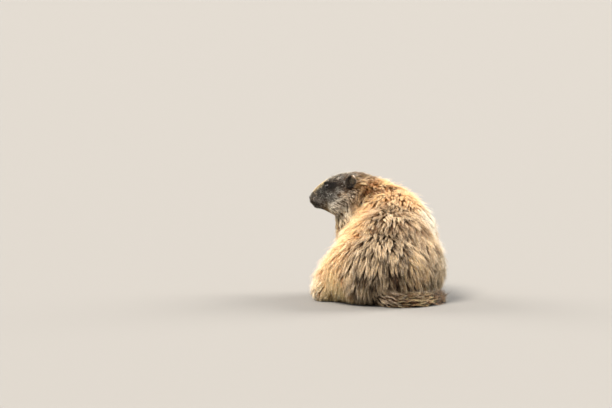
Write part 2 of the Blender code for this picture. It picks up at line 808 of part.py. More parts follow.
def material(name, kind):
    """A Principled material of its own for one node."""
    red, green, blue, rough = COLOURS[kind]
    made = bpy.data.materials.new(name)
    made.use_nodes = True
    shader = made.node_tree.nodes["Principled BSDF"]
    shader.inputs["Base Color"].default_value = (red, green, blue, 1.0)
    shader.inputs["Roughness"].default_value = rough
    shader.inputs["Metallic"].default_value = 0.0
    return made


def kind_of(name):
    if name.startswith("eye"):
        return "eye"
    if name == "nose":
        return "nose"
    if name == "head":
        return "face"
    return "dark" if "foot" in name or name.startswith("ear") else "fur"


def centred(parts):
    """Hangs the nodes on an empty that brings the middle of their box over the origin."""
    corners = [v.co for obj in parts.objects for v in obj.data.vertices]
    low = [min(c[i] for c in corners) for i in range(3)]
    high = [max(c[i] for c in corners) for i in range(3)]
    origin = bpy.data.objects.new("marmot_origin", None)
    for obj in list(parts.objects):
        obj.parent = origin
    parts.objects.link(origin)
    origin.location = (-(low[0] + high[0]) / 2, -(low[1] + high[1]) / 2, 0.0)


def main():
    clear_scene()
    parts = collection("alpine_marmot")
    helpers = collection("helpers")
    forms = collection("forms")

    head = head_form(forms)
    for side, sign in (("left", 1), ("right", -1)):
        eye("eye_" + side, sign, head, parts, helpers)
    nose(head, parts, helpers)
    mouth(head, helpers)

    tail_shape = tail_form(forms, TAIL_CLEARANCE, 0.0, TAIL_CUTTER_TRIANGLES)
    tail = tail_form(forms, -TAIL_INSET, -TAIL_INSET, TAIL_TRIANGLES)
    feet = {name: [foot_form(name, forms), *claws(name, forms)] for name in FEET}
    foot_cutters = []
    for name, pieces in feet.items():
        pair = [hull_of(pieces, helpers, HULL_CLEARANCE + extra) for extra in (0.0, GAP)]
        foot_cutters.append((name, *pair))
    whole = body_form(helpers, BODY_INSET)
    joined = collection("joined")
    rng = random.Random(LOCK_SEED)
    coat(whole, BODY_LOCK, BODY_INSET, lie_at, bears_long_coat, rng, joined)
    coat(head, CHEEK_LOCK, CHEEK_DEPTH, lie_at, is_cheek, rng, joined)
    coat(tail, TAIL_LOCK, TAIL_DEPTH, tail_lie_at, is_free_tail, rng, joined)
    for form in (head, tail):
        forms.objects.unlink(form)
        joined.objects.link(form)
    boolean(whole, "UNION", joined, "MANIFOLD")
    largest_surface(whole)
    for form in sum(feet.values(), []):
        forms.objects.unlink(form)
        joined.objects.link(form)
    boolean(whole, "UNION", joined, "MANIFOLD")
    largest_surface(whole)
    floor = half_space(((0, 0, 0), (0, 0, -1)), helpers)
    boolean(whole, "DIFFERENCE", floor, "MANIFOLD")
    for side, sign in (("left", 1), ("right", -1)):
        ear("ear_" + side, sign, whole, parts, helpers)

    cutters = [("head", half_space(HEAD_CUT, helpers), half_space(HEAD_CUT, helpers, -GAP))]
    cutters.append(("tail", tail_shape, grown(copy_of(tail_shape, helpers), GAP)))
    cutters += foot_cutters
    for side in ("left", "right"):
        pair = [foreleg_cutter(side, helpers, extra) for extra in (0.0, GAP)]
        cutters.append(("foreleg_" + side, *pair))
    for side in ("left", "right"):
        pair = [hindleg_cutter(side, helpers, extra) for extra in (0.0, GAP)]
        cutters.append(("hindleg_" + side, *pair))
    cutters.append(("neck", half_space(NECK_CUT, helpers), half_space(NECK_CUT, helpers, -GAP)))
    for name, cutter, grown_cutter in cutters:
        parted(whole, name, cutter, grown_cutter, parts)
    helpers.objects.unlink(whole)
    parts.objects.link(whole)
    whole.name = "torso"
    largest_surface(whole)

    for obj in parts.objects:
        obj.data.materials.clear()
        obj.data.materials.append(material(obj.name, kind_of(obj.name)))
    centred(parts)


main()
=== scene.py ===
# Alpine marmot: the looks. One skin carries a coat of solid tufts. Eyes, rims of the lids, ears, nose pad,
# lips, whiskers and claws are pieces of their own. Metres, +Z up. Places are in the maker's frame: the chest
# faces -Y, the rump +Y, and the animal's left side is +X. Each finished piece is moved from there to its
# place round the solids.

import math
from collections import namedtuple

import bmesh
import bpy
import numpy as np
from bpy.props import FloatProperty, IntProperty, PointerProperty, StringProperty
from mathutils import Matrix, Vector
from mathutils.bvhtree import BVHTree
from mathutils.kdtree import KDTree


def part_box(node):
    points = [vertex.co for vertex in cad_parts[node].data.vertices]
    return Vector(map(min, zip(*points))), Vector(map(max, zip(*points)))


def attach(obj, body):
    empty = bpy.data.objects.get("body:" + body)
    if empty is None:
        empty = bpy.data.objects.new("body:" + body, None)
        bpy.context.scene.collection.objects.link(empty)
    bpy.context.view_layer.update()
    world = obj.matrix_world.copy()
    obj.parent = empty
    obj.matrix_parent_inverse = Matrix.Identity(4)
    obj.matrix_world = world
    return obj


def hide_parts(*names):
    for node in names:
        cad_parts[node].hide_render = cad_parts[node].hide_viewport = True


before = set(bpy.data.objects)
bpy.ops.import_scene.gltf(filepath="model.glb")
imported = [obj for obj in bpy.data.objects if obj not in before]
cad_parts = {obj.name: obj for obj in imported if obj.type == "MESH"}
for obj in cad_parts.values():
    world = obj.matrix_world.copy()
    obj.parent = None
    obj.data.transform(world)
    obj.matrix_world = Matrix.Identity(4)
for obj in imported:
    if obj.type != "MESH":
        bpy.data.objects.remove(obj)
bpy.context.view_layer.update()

bl_info = {
    "name": "Alpine marmot",
    "version": (1, 0, 0),
    "blender": (4, 5, 0),
    "location": "View3D > Sidebar > Marmot",
    "description": "Skin, coat, face and claws of a life-size alpine marmot",
    "category": "Add Mesh",
}

# Body masses: centre, radii to the tips of the coat, heading in degrees to the animal's left
BODY_MASSES = {
    "rump": ((0.002, 0.074, 0.066), (0.100, 0.086, 0.072), 0),
    "loin": ((-0.014, 0.038, 0.098), (0.086, 0.084, 0.074), 4),
    "belly": ((-0.004, 0.005, 0.078), (0.096, 0.094, 0.084), 8),
    "ribcage": ((-0.018, -0.032, 0.112), (0.080, 0.092, 0.086), 25),
    "withers": ((-0.014, -0.072, 0.144), (0.062, 0.062, 0.060), 35),
    "chest": ((0.022, -0.094, 0.092), (0.058, 0.060, 0.068), 35),
    "jowl": ((0.064, -0.124, 0.148), (0.040, 0.043, 0.038), 0),
    "nape": ((0.018, -0.104, 0.168), (0.046, 0.046, 0.046), 30),
    "left_haunch": ((0.058, 0.030, 0.048), (0.058, 0.076, 0.053), 0),
    "right_haunch": ((-0.062, 0.032, 0.066), (0.056, 0.080, 0.070), 0),
}

# Limbs: start, end and the radii there, to the tips of the coat
NECK = (
    ((-0.014, -0.072, 0.144), (0.016, -0.104, 0.156), 0.059, 0.059),
    ((0.016, -0.104, 0.156), (0.048, -0.118, 0.176), 0.059, 0.048),
    ((0.072, -0.122, 0.136), (0.056, -0.108, 0.090), 0.030, 0.036),
)
LOWER_FORELEGS = (
    ((0.056, -0.052, 0.062), (0.074, -0.092, 0.022), 0.027, 0.0155),
    ((-0.028, -0.122, 0.062), (0.000, -0.140, 0.022), 0.027, 0.0155),
)
LIMBS = (
    ((0.034, -0.056, 0.108), (0.056, -0.052, 0.062), 0.036, 0.027),
    ((-0.036, -0.104, 0.108), (-0.028, -0.122, 0.062), 0.036, 0.027),
    ((0.046, 0.046, 0.074), (0.090, -0.004, 0.044), 0.048, 0.036),
    ((0.090, -0.004, 0.044), (0.104, 0.050, 0.024), 0.036, 0.026),
    ((-0.054, 0.050, 0.086), (-0.080, -0.014, 0.056), 0.060, 0.036),
    ((-0.080, -0.014, 0.056), (-0.076, 0.056, 0.026), 0.036, 0.026),
    *LOWER_FORELEGS,
)

# How deep the skin lies under the tips of the coat
BODY_COAT = 0.0075
TAIL_COAT = 0.0055
LIMB_COAT_SHARE = 0.20
FOOT_COAT = 0.0008
HEAD_COAT = (0.0005, 0.0030)
HEAD_COAT_REACH = 0.075

# Grids and passes of smoothing that melt the masses together
SMOOTHING_FACTOR = 0.5
BODY_GRID = 0.0034
BODY_SMOOTHING = 60
HEAD_GRID = 0.0013
HEAD_SMOOTHING = 8
FOOT_GRID = 0.0010
FOOT_SMOOTHING = 5
SKIN_GRID = 0.0012
SKIN_SMOOTHING = 3
SKIN_KEPT_FACES = 0.45
EAR_SMOOTHING = 3
FLOOR_CLEARANCE = 0.0004

# Smallest length to divide by, and the weight that keeps a far marking or corner from vanishing
TINY = 1e-9
FAINT = 1e-6

# Midline of the back, from the crown to the root of the tail, from which the hair parts
MIDLINE = (
    (0.064, -0.128, 0.224),
    (0.010, -0.106, 0.208),
    (-0.016, -0.066, 0.202),
    (-0.014, -0.008, 0.188),
    (-0.010, 0.060, 0.160),
    (-0.002, 0.120, 0.122),
    (0.000, 0.156, 0.074),
    (0.000, 0.150, 0.034),
)
PARTING_WIDTH = 0.080
PARTING_PULL = 0.60
PARTING_BLEND = 0.014
DROOP = 0.35

# How the hair hangs under the jaw and lies on the lower forelegs
JAW_BLEND = (0.020, -0.020)
JAW_DROOP = 0.55
LEG_LIE = (0.0, -0.30, -1.0)

# The head points along +X, with its nose tip here. A cut through the neck tells head from body.
NOSE_TIP = (0.146, -0.128, 0.174)
HEAD_TURN = -4.0
HEAD_CUT = ((0.0985, -0.120, 0.140), (0.84, 0.0, 0.54))
OCCIPUT = (0.048, -0.118, 0.176)

# Sections of the head behind the nose tip: distance back, top, bottom and half width
HEAD_SECTIONS = (
    (0.001, 0.004, -0.007, 0.0065),
    (0.005, 0.0115, -0.0125, 0.0105),
    (0.010, 0.0175, -0.0150, 0.0140),
    (0.018, 0.0255, -0.0185, 0.0180),
    (0.028, 0.0335, -0.0225, 0.0220),
    (0.040, 0.0410, -0.0280, 0.0285),
    (0.052, 0.0465, -0.0335, 0.0350),
    (0.068, 0.0505, -0.0380, 0.0395),
    (0.086, 0.0515, -0.0400, 0.0410),
    (0.098, 0.0495, -0.0370, 0.0380),
    (0.110, 0.0430, -0.0300, 0.0290),
    (0.120, 0.0310, -0.0200, 0.0180),
)
SECTION_POINTS = 48
SECTION_POWER = 2.3

# Masses of the face, mirrored to both sides: place in the head's frame, radii
FACE_MASSES = {
    "muzzle_pad": ((-0.011, 0.0075, -0.0040), (0.0095, 0.0072, 0.0075)),
    "cheek": ((-0.060, 0.0225, -0.0080), (0.0240, 0.0180, 0.0240)),
    "brow": ((-0.038, 0.0178, 0.0312), (0.0120, 0.0062, 0.0046)),
    "chin": ((-0.018, 0.0030, -0.0140), (0.0110, 0.0080, 0.0062)),
}

# Eyes, the sockets and slits in the skin round them and the rims of the lids, in the head's frame
EYE_PLACE = (-0.0385, 0.0200, 0.0245)
EYE_OUTWARD = (0.34, 0.90, 0.16)
EYE_SINK = 0.0012
EYE_SLANT = 20.0
CORNEA_ANGLE = 38.0
CORNEA_RISE = 0.0005
SOCKET_RADIUS = 0.0074
SLIT_ANGLES = (58.0, 32.0)
SLIT_POWER = 1.45
SLIT_DEPTH = 0.0011
SLIT_FADE = (1.12, 0.95)
SLIT_ROOM = 1.5
SLIT_CUTS = 2
SLIT_ROUNDING = 0.6
RIM_INNER = 0.00662
RIM_OUTER = 0.00765
RIM_SUNK = 0.00690
RIM_EDGE = 0.0005
RIM_CREST = 0.3
RIM_WIDTH = 11.0
RIM_RINGS = 7
RIM_STEPS = 56

# Ears, in the head's frame
EAR_PLACE = (-0.083, 0.0345, 0.0345)
EAR_RADII = (0.0102, 0.0060, 0.0132)
EAR_HOLLOW = (0.0080, 0.0052, 0.0106)
EAR_HOLLOW_SHIFT = (0.0014, 0.0040, 0.0008)
EAR_TILT = (-18.0, -12.0, -28.0)
EAR_GRID = 0.0006

# Nose pad and lips, in the head's frame
NOSE_PLACE = (-0.0038, 0.0, 0.0010)
NOSE_RADII = (0.0042, 0.0066, 0.0050)
NOSE_TAPER = 0.26
NOSTRIL_PLACE = (0.0012, 0.0036, -0.0002)
NOSTRIL_RADII = (0.0036, 0.0019, 0.0015)
NOSTRIL_DEPTH = 0.0030
NOSTRIL_SLANT = 0.25
NOSTRIL_SHARPNESS = 1.6
PHILTRUM_WIDTH = 0.0006
PHILTRUM_DEPTH = 0.0006
MOUTH_POINTS = (
    (0.0005, 0.0000, -0.0055),
    (-0.0035, 0.0052, -0.0092),
    (-0.0110, 0.0122, -0.0105),
    (-0.0190, 0.0170, -0.0100),
    (-0.0265, 0.0208, -0.0080),
)
MOUTH_STATIONS = 24
LIP_RADIUS = 0.0008
LIP_SINK = 0.2
LIP_TAPER = 5.0

# Whiskers: first and last root of each row on the muzzle, and the roots on the brow, in the head's frame
WHISKER_ROWS = (
    ((-0.0085, 0.0125, 0.0035), (-0.0165, 0.0165, 0.0045)),
    ((-0.0080, 0.0130, 0.0000), (-0.0180, 0.0180, 0.0005)),
    ((-0.0085, 0.0130, -0.0035), (-0.0175, 0.0180, -0.0035)),
)
WHISKERS_PER_ROW = 5
WHISKER_LENGTHS = (0.022, 0.042)
WHISKER_LENGTH_SPREAD = (0.8, 1.1)
BROW_WHISKERS = ((-0.034, 0.0190, 0.0345), (-0.040, 0.0210, 0.0350), (-0.046, 0.0235, 0.0340))
BROW_LENGTH_SHARE = 0.2
WHISKER_STATIONS = 9
WHISKER_SUNK_SHARE = 0.05
WHISKER_TAPER = 1.1

# Way of a whisker: how it starts, how far the rear ones turn back, how far it scatters up or down, how it
# sags back and down, and how much further up a brow's whisker starts and how much less it sags down
WHISKER_WAY = (-0.55, 0.85, 0.10)
WHISKER_TURN_BACK = 0.25
WHISKER_SCATTER = 0.2
WHISKER_SAG = (-0.25, -0.35)
BROW_RISE = 0.9
BROW_SAG_LESS = 0.4

# Feet: heel, heading in degrees from -Y to the animal's left, length, width, toes and length of a claw
Foot = namedtuple("Foot", "heel heading length width toes claw")
FEET = {
    "forefoot_left": Foot((0.072, -0.086), 18, 0.052, 0.026, 4, 0.015),
    "forefoot_right": Foot((0.000, -0.134), 8, 0.052, 0.026, 4, 0.015),
    "hindfoot_left": Foot((0.100, 0.040), 14, 0.082, 0.030, 5, 0.011),
    "hindfoot_right": Foot((-0.078, 0.046), -8, 0.082, 0.030, 5, 0.011),
}
SOLE_RADIUS = 0.0088
SOLE_SINK = 0.0012
KNUCKLE_SHARES = (0.62, 0.26)
KNUCKLE_TAPER = 0.92
TOE_ROOT_SHARES = (0.58, 0.72)
TOE_RADII = (0.0052, 0.0042)
TOE_SPREAD = 1.12
TOE_ROOM = 0.42
TOE_LIFT = 0.0016
TOE_SINK = 0.0006
TOE_ARC = 0.12
CLAW_SINK = -0.0030
CLAW_SPREAD = 1.1
CLAW_STATIONS = 10
CLAW_RISE = 0.0008
CLAW_DROP = 0.0036
CLAW_TAPER = 2.2

# Share of the root's radius that is left at the end of a claw, a whisker and the lips
BLUNT_SHARE = 0.02

# Tail, laid on the floor round the right haunch
TAIL_POINTS = (
    (0.004, 0.118, 0.030),
    (-0.028, 0.142, 0.0170),
    (-0.064, 0.134, 0.0142),
    (-0.092, 0.106, 0.0138),
    (-0.106, 0.068, 0.0136),
    (-0.110, 0.034, 0.0110),
)
TAIL_RADII = (0.018, 0.0165, 0.0160, 0.0155, 0.0150, 0.0090)

# Zones of the body's coat, each a piece of its own round its middle
COAT_ZONES = {
    "nape": (0.010, -0.092, 0.196),
    "left_shoulder": (0.064, -0.070, 0.118),
    "right_shoulder": (-0.080, -0.070, 0.135),
    "saddle": (-0.014, 0.062, 0.158),
    "left_flank": (0.094, 0.028, 0.070),
    "right_flank": (-0.106, 0.028, 0.085),
    "rump": (0.000, 0.148, 0.066),
    "chest": (0.030, -0.150, 0.090),
}

# Another slot name than "coat" for these zones, handed to finished()
ZONE_SLOTS = {
    "tail": "tail_coat",
    "feet": "foot",
    "face": "face_coat",
    "crown": "face_coat",
    "cheeks": "face_coat",
}

# The share from which a point counts as part of head, tail, leg or foot, and where crown and face end
MOSTLY = 0.5
CROWN_FROM = 0.012
FACE_UNTIL = -0.046

# Where one part's coat passes into the next. The head's is measured from the cut through the neck, the
# tail's and the foreleg's from their surface, the foot's from its heel, floor, sides and toes.
HEAD_BLEND = (-0.022, 0.004)
TAIL_BLEND = (0.002, 0.010)
LEG_BLEND = (-0.002, 0.008)
HEEL_BLEND = (-0.004, 0.006)
INSTEP_BLEND = (0.020, 0.012)
FOOT_SIDE_BLEND = (0.012, 0.006)
TOE_BLEND = (0.012, 0.008)

# The same within the head, by how far behind the nose tip, how low and how near the eye, and the share of
# the hair's length that is left at the eye
CROWN_BLEND = (0.004, 0.085)
CHEEK_BLEND = (0.040, 0.075)
CHEEK_HEIGHT_BLEND = (0.016, -0.012)
MANE_BLEND = (0.076, 0.100)
EYE_HAIR_BLEND = (0.008, 0.020)
EYE_HAIR_SHARE = 0.35

# Bare places: how far past the slit of the eye, the room round nose pad and lips, and what counts as a sole
BARE_SLIT = 1.30
BARE_SLIT_ROOM = 2.0
BARE_NOSE_ROOM = 0.0002
BARE_LIP_ROOM = 0.0017
SOLE_HEIGHT = 0.004
SOLE_FACING = -0.3

# Sizes of the coat by part of the body: length and height of the hair, space between tufts, width of a
# hair, hairs in a tuft and pull towards locks
LENGTH, HEIGHT, SPACING, WIDTH, HAIRS, PULL = range(6)
COAT_SIZES = {
    "body": (0.0320, 0.0088, 0.0047, 0.00092, 13, 1.00),
    "tail": (0.0280, 0.0085, 0.0033, 0.00072, 9, 0.10),
    "leg": (0.0120, 0.0030, 0.0029, 0.00056, 8, 0.20),
    "foot": (0.0054, 0.0010, 0.0022, 0.00046, 6, 0.00),
    "muzzle": (0.0034, 0.0006, 0.0012, 0.00026, 5, 0.00),
    "crown": (0.0092, 0.0022, 0.0020, 0.00038, 10, 0.15),
    "cheek": (0.0150, 0.0046, 0.0025, 0.00046, 12, 0.32),
    "nape": (0.0190, 0.0062, 0.0031, 0.00060, 10, 0.40),
    "ear": (0.0056, 0.0012, 0.0010, 0.00026, 5, 0.00),
}

# Hair of the ear: share of its length that is left in the hollow, where the hollow ends, and its lie
EAR_HOLLOW_HAIR = 0.35
EAR_RIM_BLEND = (0.92, 0.70)
EAR_HOLLOW_BLEND = (-0.001, 0.001)
EAR_LIE = (-0.25, 0.0, 1.0)

# Shorter coat near the head and the floor: least share, share on the floor and where it is full
SHORTEST_SHARE = 0.50
FLOOR_SHARE = 0.35
FULL_COAT_REACH = 0.120
FULL_COAT_HEIGHT = 0.070

# Roots: tries for each root that is wanted, and the space kept free as a share of the wanted one
ROOT_TRIES = 5
ROOT_ROOM = 0.92
COAT_SEED = 11

# Path of a tuft: stations along it and how high it stands at each, as shares of its length and height
STATIONS = np.linspace(0, 1, 6)
RISE = np.array([-0.10, 0.32, 0.62, 0.84, 0.97, 1.02])

# How tufts vary, as shares of a size or spreads of a random draw, and the same for locks
TUFT_LENGTHS = (0.88, 1.18)
TUFT_HEIGHTS = (0.70, 1.15)
TUFT_SWING = 0.16
TUFT_SHADE = 0.55
TUFT_ROOM = 0.62
LOCK_SPACINGS = 2.8
LOCK_HEIGHTS = (0.65, 1.20)
LOCK_SWING = 0.18
LOCK_SHADE = 0.75
LOCK_GATHERING = 1.6
SHADE_SHARED = 0.62

# Hairs of a tuft: the share of fine ones, how far fine and coarse ones reach, how they stand off and how
# thick they are, and how all of them gather, wave, sink, twist and differ in thickness
FINE_HAIRS = 0.35
FINE_REACH = (0.85, 1.0)
COARSE_REACH = (0.58, 0.90)
FINE_LIFT = 0.55
COARSE_LIFT = 0.16
FINE_WIDTH = 0.55
COARSE_WIDTH = 1.15
GATHERING = (0.45, 0.85)
GATHERING_POWER = 1.2
WAVES = (3.0, 7.0)
WAVE_SIZE = 0.022
ROOT_DEPTH = 0.0003
ROOT_DEPTH_SHARE = 0.06
TWIST = 0.5
WIDTH_SPREAD = (0.8, 1.2)

# Stations of long and short hairs, and the length from which hairs are long
LONG_STATIONS = (0.0, 0.38, 0.74, 1.0)
SHORT_STATIONS = (0.0, 0.55, 1.0)
LONG_HAIR = 0.010

# Along a hair: where its width and its lightness are given, and how thick it is as a share of its width
PROFILE_STATIONS = (0.0, 0.35, 0.75, 1.0)
WIDTH_PROFILE = (0.75, 1.0, 0.62, 0.1)
# Darker at the root and lighter at the tip: the hair's own dark base and pale band, with painted shade deep
# in the coat and painted sunlight on the tips
LIGHTNESS_PROFILE = (-0.60, -0.25, 0.12, 0.30)
HAIR_THICKNESS = 0.55

# Shades of single hairs: their spread, how much lighter fine ones are, their share in the mix and its limit
HAIR_SHADE = 0.6
FINE_SHADE = 0.5
HAIR_SHADE_SHARE = 0.22
LIGHTEST = 1.15

# Patch of a tuft in the unwrap: its side, and how far the ridge of a hair is moved along it
PATCH = 0.003
PATCH_RIDGE = 0.12

# Underfur: share of the light hairs' colour in it, and how dark it lies
UNDERFUR_LIGHT = 0.20
UNDERFUR_SHADE = 0.42

# Guard hair: where its pigment bands turn from dim to bright, with both shades over a hair's colour, and how
# far red, green and blue light enters it
BAND_STOPS = ((0.34, (0.62, 0.60, 0.58)), (0.66, (1.16, 1.15, 1.12)))
HAIR_GLOW = (1.0, 0.82, 0.64)

# The eye's colours from its side to its pupil
EYE_STOPS = (
    (0.0, "#0B0806"),
    (0.74, "#140B07"),
    (0.86, "#24150C"),
    (0.925, "#080504"),
    (1.0, "#050403"),
)

# Bare skin, horn and whiskers: first and last colour
BARE_SKIN_COLOURS = ("#211B19", "#0E0B0A")
HORN_COLOURS = ("#1A1411", "#8A7458")
WHISKER_COLOURS = ("#14100D", "#5A4B3C")

# Lights: where each comes from, how wide it is in degrees, its colour and the strength of the rims'
KEY_LIGHT = ((1.0, 1.0, 2.3), 24.0, "#FFF4E6")
RIM_LIGHTS = {
    "rim_right": ((-1.6, -1.3, 1.1), 40.0, "#FFF8EE", 7.5),
    "rim_left": ((1.8, -1.1, 0.8), 40.0, "#FFF8EE", 5.0),
}
SKY_COLOUR = "#E6E8EA"
SKY_STRENGTH = 0.95
FLOOR_SIZE = 60.0
FLOOR_ROUGHNESS = 0.8

# The photo's frame: pixels for each metre and the pixel on which the rump's foot stands, and the camera
PHOTO_SIZE = (612, 408)
PIXELS_PER_METRE = 540.0
RUMP_FOOT = (0.0, 0.14, 0.0)
RUMP_FOOT_PIXEL = (378.1, 307.0)
SENSOR_WIDTH = 36.0
FARTHEST_SEEN = 200.0


def linear(code):
    """A colour such as #D5A77B as linear red, green and blue."""
    values = [int(code[i : i + 2], 16) / 255 for i in (1, 3, 5)]
    return tuple(v / 12.92 if v <= 0.04045 else ((v + 0.055) / 1.055) ** 2.4 for v in values)


# Colours of single hairs
HAIR_COLOURS = {
    "apricot": "#FDD29C",
    "rufous": "#A26736",
    "tawny": "#CC9059",
    "sand": "#E6C7A0",
    "walnut": "#6F5138",
    "umber": "#33241A",
    "straw": "#F8F0DC",
    "honey": "#B8924F",
    "wheat": "#E8C88C",
    "olive": "#64583F",
    "ash": "#BCBAB1",
    "slate": "#302B26",
    "soot": "#0E0B0A",
}

# Markings: middle, reach, dark hairs, light hairs, share of light, how strongly tufts differ
BODY_MARKINGS = {
    "nape": ((0.012, -0.088, 0.206), 0.044, "rufous", "apricot", 0.56, 0.50),
    "nape_back": ((-0.018, -0.052, 0.194), 0.028, "rufous", "apricot", 0.52, 0.50),
    # Dark umber in the hollow behind the nape: the fur's darker brown with painted shade under the throat
    "neck_hollow_shaded": ((0.026, -0.068, 0.192), 0.024, "umber", "apricot", 0.10, 0.90),
    "right_shoulder": ((-0.038, -0.050, 0.186), 0.040, "tawny", "apricot", 0.66, 0.44),
    "right_arm": ((-0.085, -0.070, 0.110), 0.036, "tawny", "apricot", 0.60, 0.44),
    "left_shoulder": ((0.062, -0.050, 0.130), 0.044, "tawny", "apricot", 0.84, 0.36),
    # Dark umber on the neck's left side: the fur's darker brown with painted shade under the throat
    "neck_side_shaded": ((0.050, -0.066, 0.172), 0.032, "umber", "apricot", -0.10, 0.90),
    "throat": ((0.084, -0.116, 0.130), 0.034, "walnut", "wheat", 0.32, 0.66),
    "chest": ((0.040, -0.150, 0.090), 0.050, "walnut", "wheat", 0.50, 0.50),
    "saddle": ((-0.020, 0.056, 0.160), 0.042, "walnut", "sand", 0.54, 0.66),
    "middle_back": ((-0.012, 0.112, 0.116), 0.040, "umber", "sand", 0.48, 0.72),
    "lower_back": ((0.004, 0.148, 0.058), 0.040, "umber", "sand", 0.46, 0.72),
    "lower_right": ((-0.060, 0.122, 0.058), 0.038, "umber", "apricot", 0.48, 0.70),
    "right_side": ((-0.086, 0.050, 0.120), 0.044, "walnut", "sand", 0.58, 0.56),
    # Olive on the right flank: the fur's grey-olive with painted shade of the side turned from the light
    "right_flank": ((-0.104, 0.046, 0.066), 0.042, "olive", "sand", 0.30, 0.64),
    # Pale straw along the right side's outline: painted rim light, the glow of backlit hair
    "right_rim_light_high": ((-0.070, -0.056, 0.174), 0.026, "tawny", "straw", 0.88, 0.34),
    "right_rim_light_middle": ((-0.086, -0.020, 0.150), 0.026, "tawny", "straw", 0.88, 0.40),
    "right_rim_light_low": ((-0.098, 0.008, 0.126), 0.026, "tawny", "straw", 0.86, 0.44),
    "right_rim_light_foot": ((-0.114, 0.034, 0.092), 0.024, "olive", "straw", 0.80, 0.50),
    "left_side": ((0.054, 0.040, 0.126), 0.048, "tawny", "apricot", 0.82, 0.46),
    "left_flank": ((0.090, 0.056, 0.078), 0.050, "tawny", "apricot", 0.80, 0.54),
    "left_thigh": ((0.094, 0.082, 0.032), 0.044, "tawny", "wheat", 1.04, 0.60),
    # Pale straw along the left side's outline: painted rim light, the glow of backlit hair
    "left_rim_light_high": ((0.078, -0.014, 0.122), 0.022, "tawny", "straw", 0.86, 0.40),
    "left_rim_light_middle": ((0.106, 0.022, 0.086), 0.024, "tawny", "straw", 0.92, 0.40),
    "left_rim_light_low": ((0.122, 0.048, 0.036), 0.028, "tawny", "straw", 1.00, 0.40),
    "belly": ((0.000, -0.040, 0.010), 0.060, "walnut", "sand", 0.44, 0.40),
    "left_foreleg": ((0.070, -0.084, 0.036), 0.032, "walnut", "sand", 0.52, 0.50),
    "right_foreleg": ((-0.016, -0.136, 0.036), 0.032, "walnut", "sand", 0.52, 0.50),
    "left_forefoot": ((0.084, -0.112, 0.006), 0.024, "umber", "sand", 0.34, 0.50),
    "right_forefoot": ((0.004, -0.164, 0.006), 0.024, "umber", "sand", 0.34, 0.50),
    "left_hindfoot": ((0.112, -0.016, 0.004), 0.022, "umber", "sand", 0.34, 0.50),
    "right_hindfoot": ((-0.084, -0.012, 0.004), 0.022, "umber", "sand", 0.34, 0.50),
    "tail_root": ((-0.034, 0.150, 0.014), 0.030, "umber", "walnut", 0.30, 0.30),
    "tail_middle": ((-0.070, 0.138, 0.018), 0.034, "umber", "walnut", 0.12, 0.30),
    "tail": ((-0.100, 0.108, 0.016), 0.034, "soot", "walnut", 0.12, 0.28),
    "tail_end": ((-0.114, 0.060, 0.014), 0.030, "soot", "umber", 0.20, 0.24),
}

# The same for the face, in the head's frame and mirrored
FACE_MARKINGS = {
    "nose_end": ((-0.003, 0.000, 0.008), 0.007, "slate", "ash", 0.06, 0.50),
    "bridge": ((-0.012, 0.000, 0.018), 0.009, "olive", "wheat", 0.70, 0.40),
    "stop": ((-0.024, 0.000, 0.030), 0.010, "olive", "wheat", 0.52, 0.44),
    "muzzle_front": ((-0.010, 0.012, 0.004), 0.008, "slate", "sand", 0.06, 0.60),
    "lips": ((-0.012, 0.012, -0.010), 0.006, "soot", "ash", 0.10, 0.50),
    "muzzle": ((-0.026, 0.021, 0.004), 0.013, "soot", "ash", 0.04, 0.84),
    "chin": ((-0.018, 0.004, -0.022), 0.012, "slate", "ash", 0.30, 0.60),
    "jaw_front": ((-0.032, 0.014, -0.024), 0.010, "soot", "honey", 0.24, 0.60),
    "eye_front": ((-0.0305, 0.0205, 0.0205), 0.0050, "soot", "slate", 0.00, 0.20),
    "eye_rim": ((-0.0385, 0.0240, 0.0245), 0.0088, "soot", "slate", -0.20, 0.20),
    "eye_stripe": ((-0.0480, 0.0290, 0.0270), 0.0080, "soot", "slate", -0.10, 0.30),
    "under_eye": ((-0.0380, 0.0290, 0.0140), 0.0070, "slate", "ash", 0.22, 0.70),
    "forehead": ((-0.046, 0.000, 0.044), 0.016, "slate", "ash", 0.12, 0.68),
    "brow": ((-0.044, 0.0170, 0.0400), 0.0080, "slate", "sand", 0.22, 0.80),
    "crown": ((-0.078, 0.000, 0.050), 0.026, "slate", "ash", -0.18, 0.56),
    "crown_back": ((-0.106, 0.004, 0.042), 0.020, "slate", "sand", -0.10, 0.62),
    "temple_front": ((-0.0580, 0.0340, 0.0240), 0.0070, "slate", "ash", 0.34, 0.80),
    "temple": ((-0.070, 0.036, 0.030), 0.012, "soot", "ash", 0.08, 0.60),
    "cheek": ((-0.046, 0.033, 0.005), 0.013, "soot", "ash", 0.24, 0.92),
    "cheek_low": ((-0.052, 0.036, -0.011), 0.015, "slate", "straw", 0.86, 0.95),
    "cheek_ruff": ((-0.074, 0.040, -0.008), 0.016, "slate", "straw", 0.58, 0.92),
    "jaw": ((-0.058, 0.028, -0.026), 0.022, "olive", "straw", 1.06, 0.90),
    "under_ear": ((-0.088, 0.038, 0.012), 0.012, "slate", "ash", 0.40, 0.90),
    "behind_ear": ((-0.104, 0.026, 0.038), 0.014, "walnut", "apricot", 0.42, 0.74),
    "neck_start": ((-0.104, 0.040, 0.014), 0.016, "umber", "apricot", -0.06, 0.90),
    "ear": ((-0.083, 0.036, 0.044), 0.008, "slate", "sand", 0.16, 0.50),
}

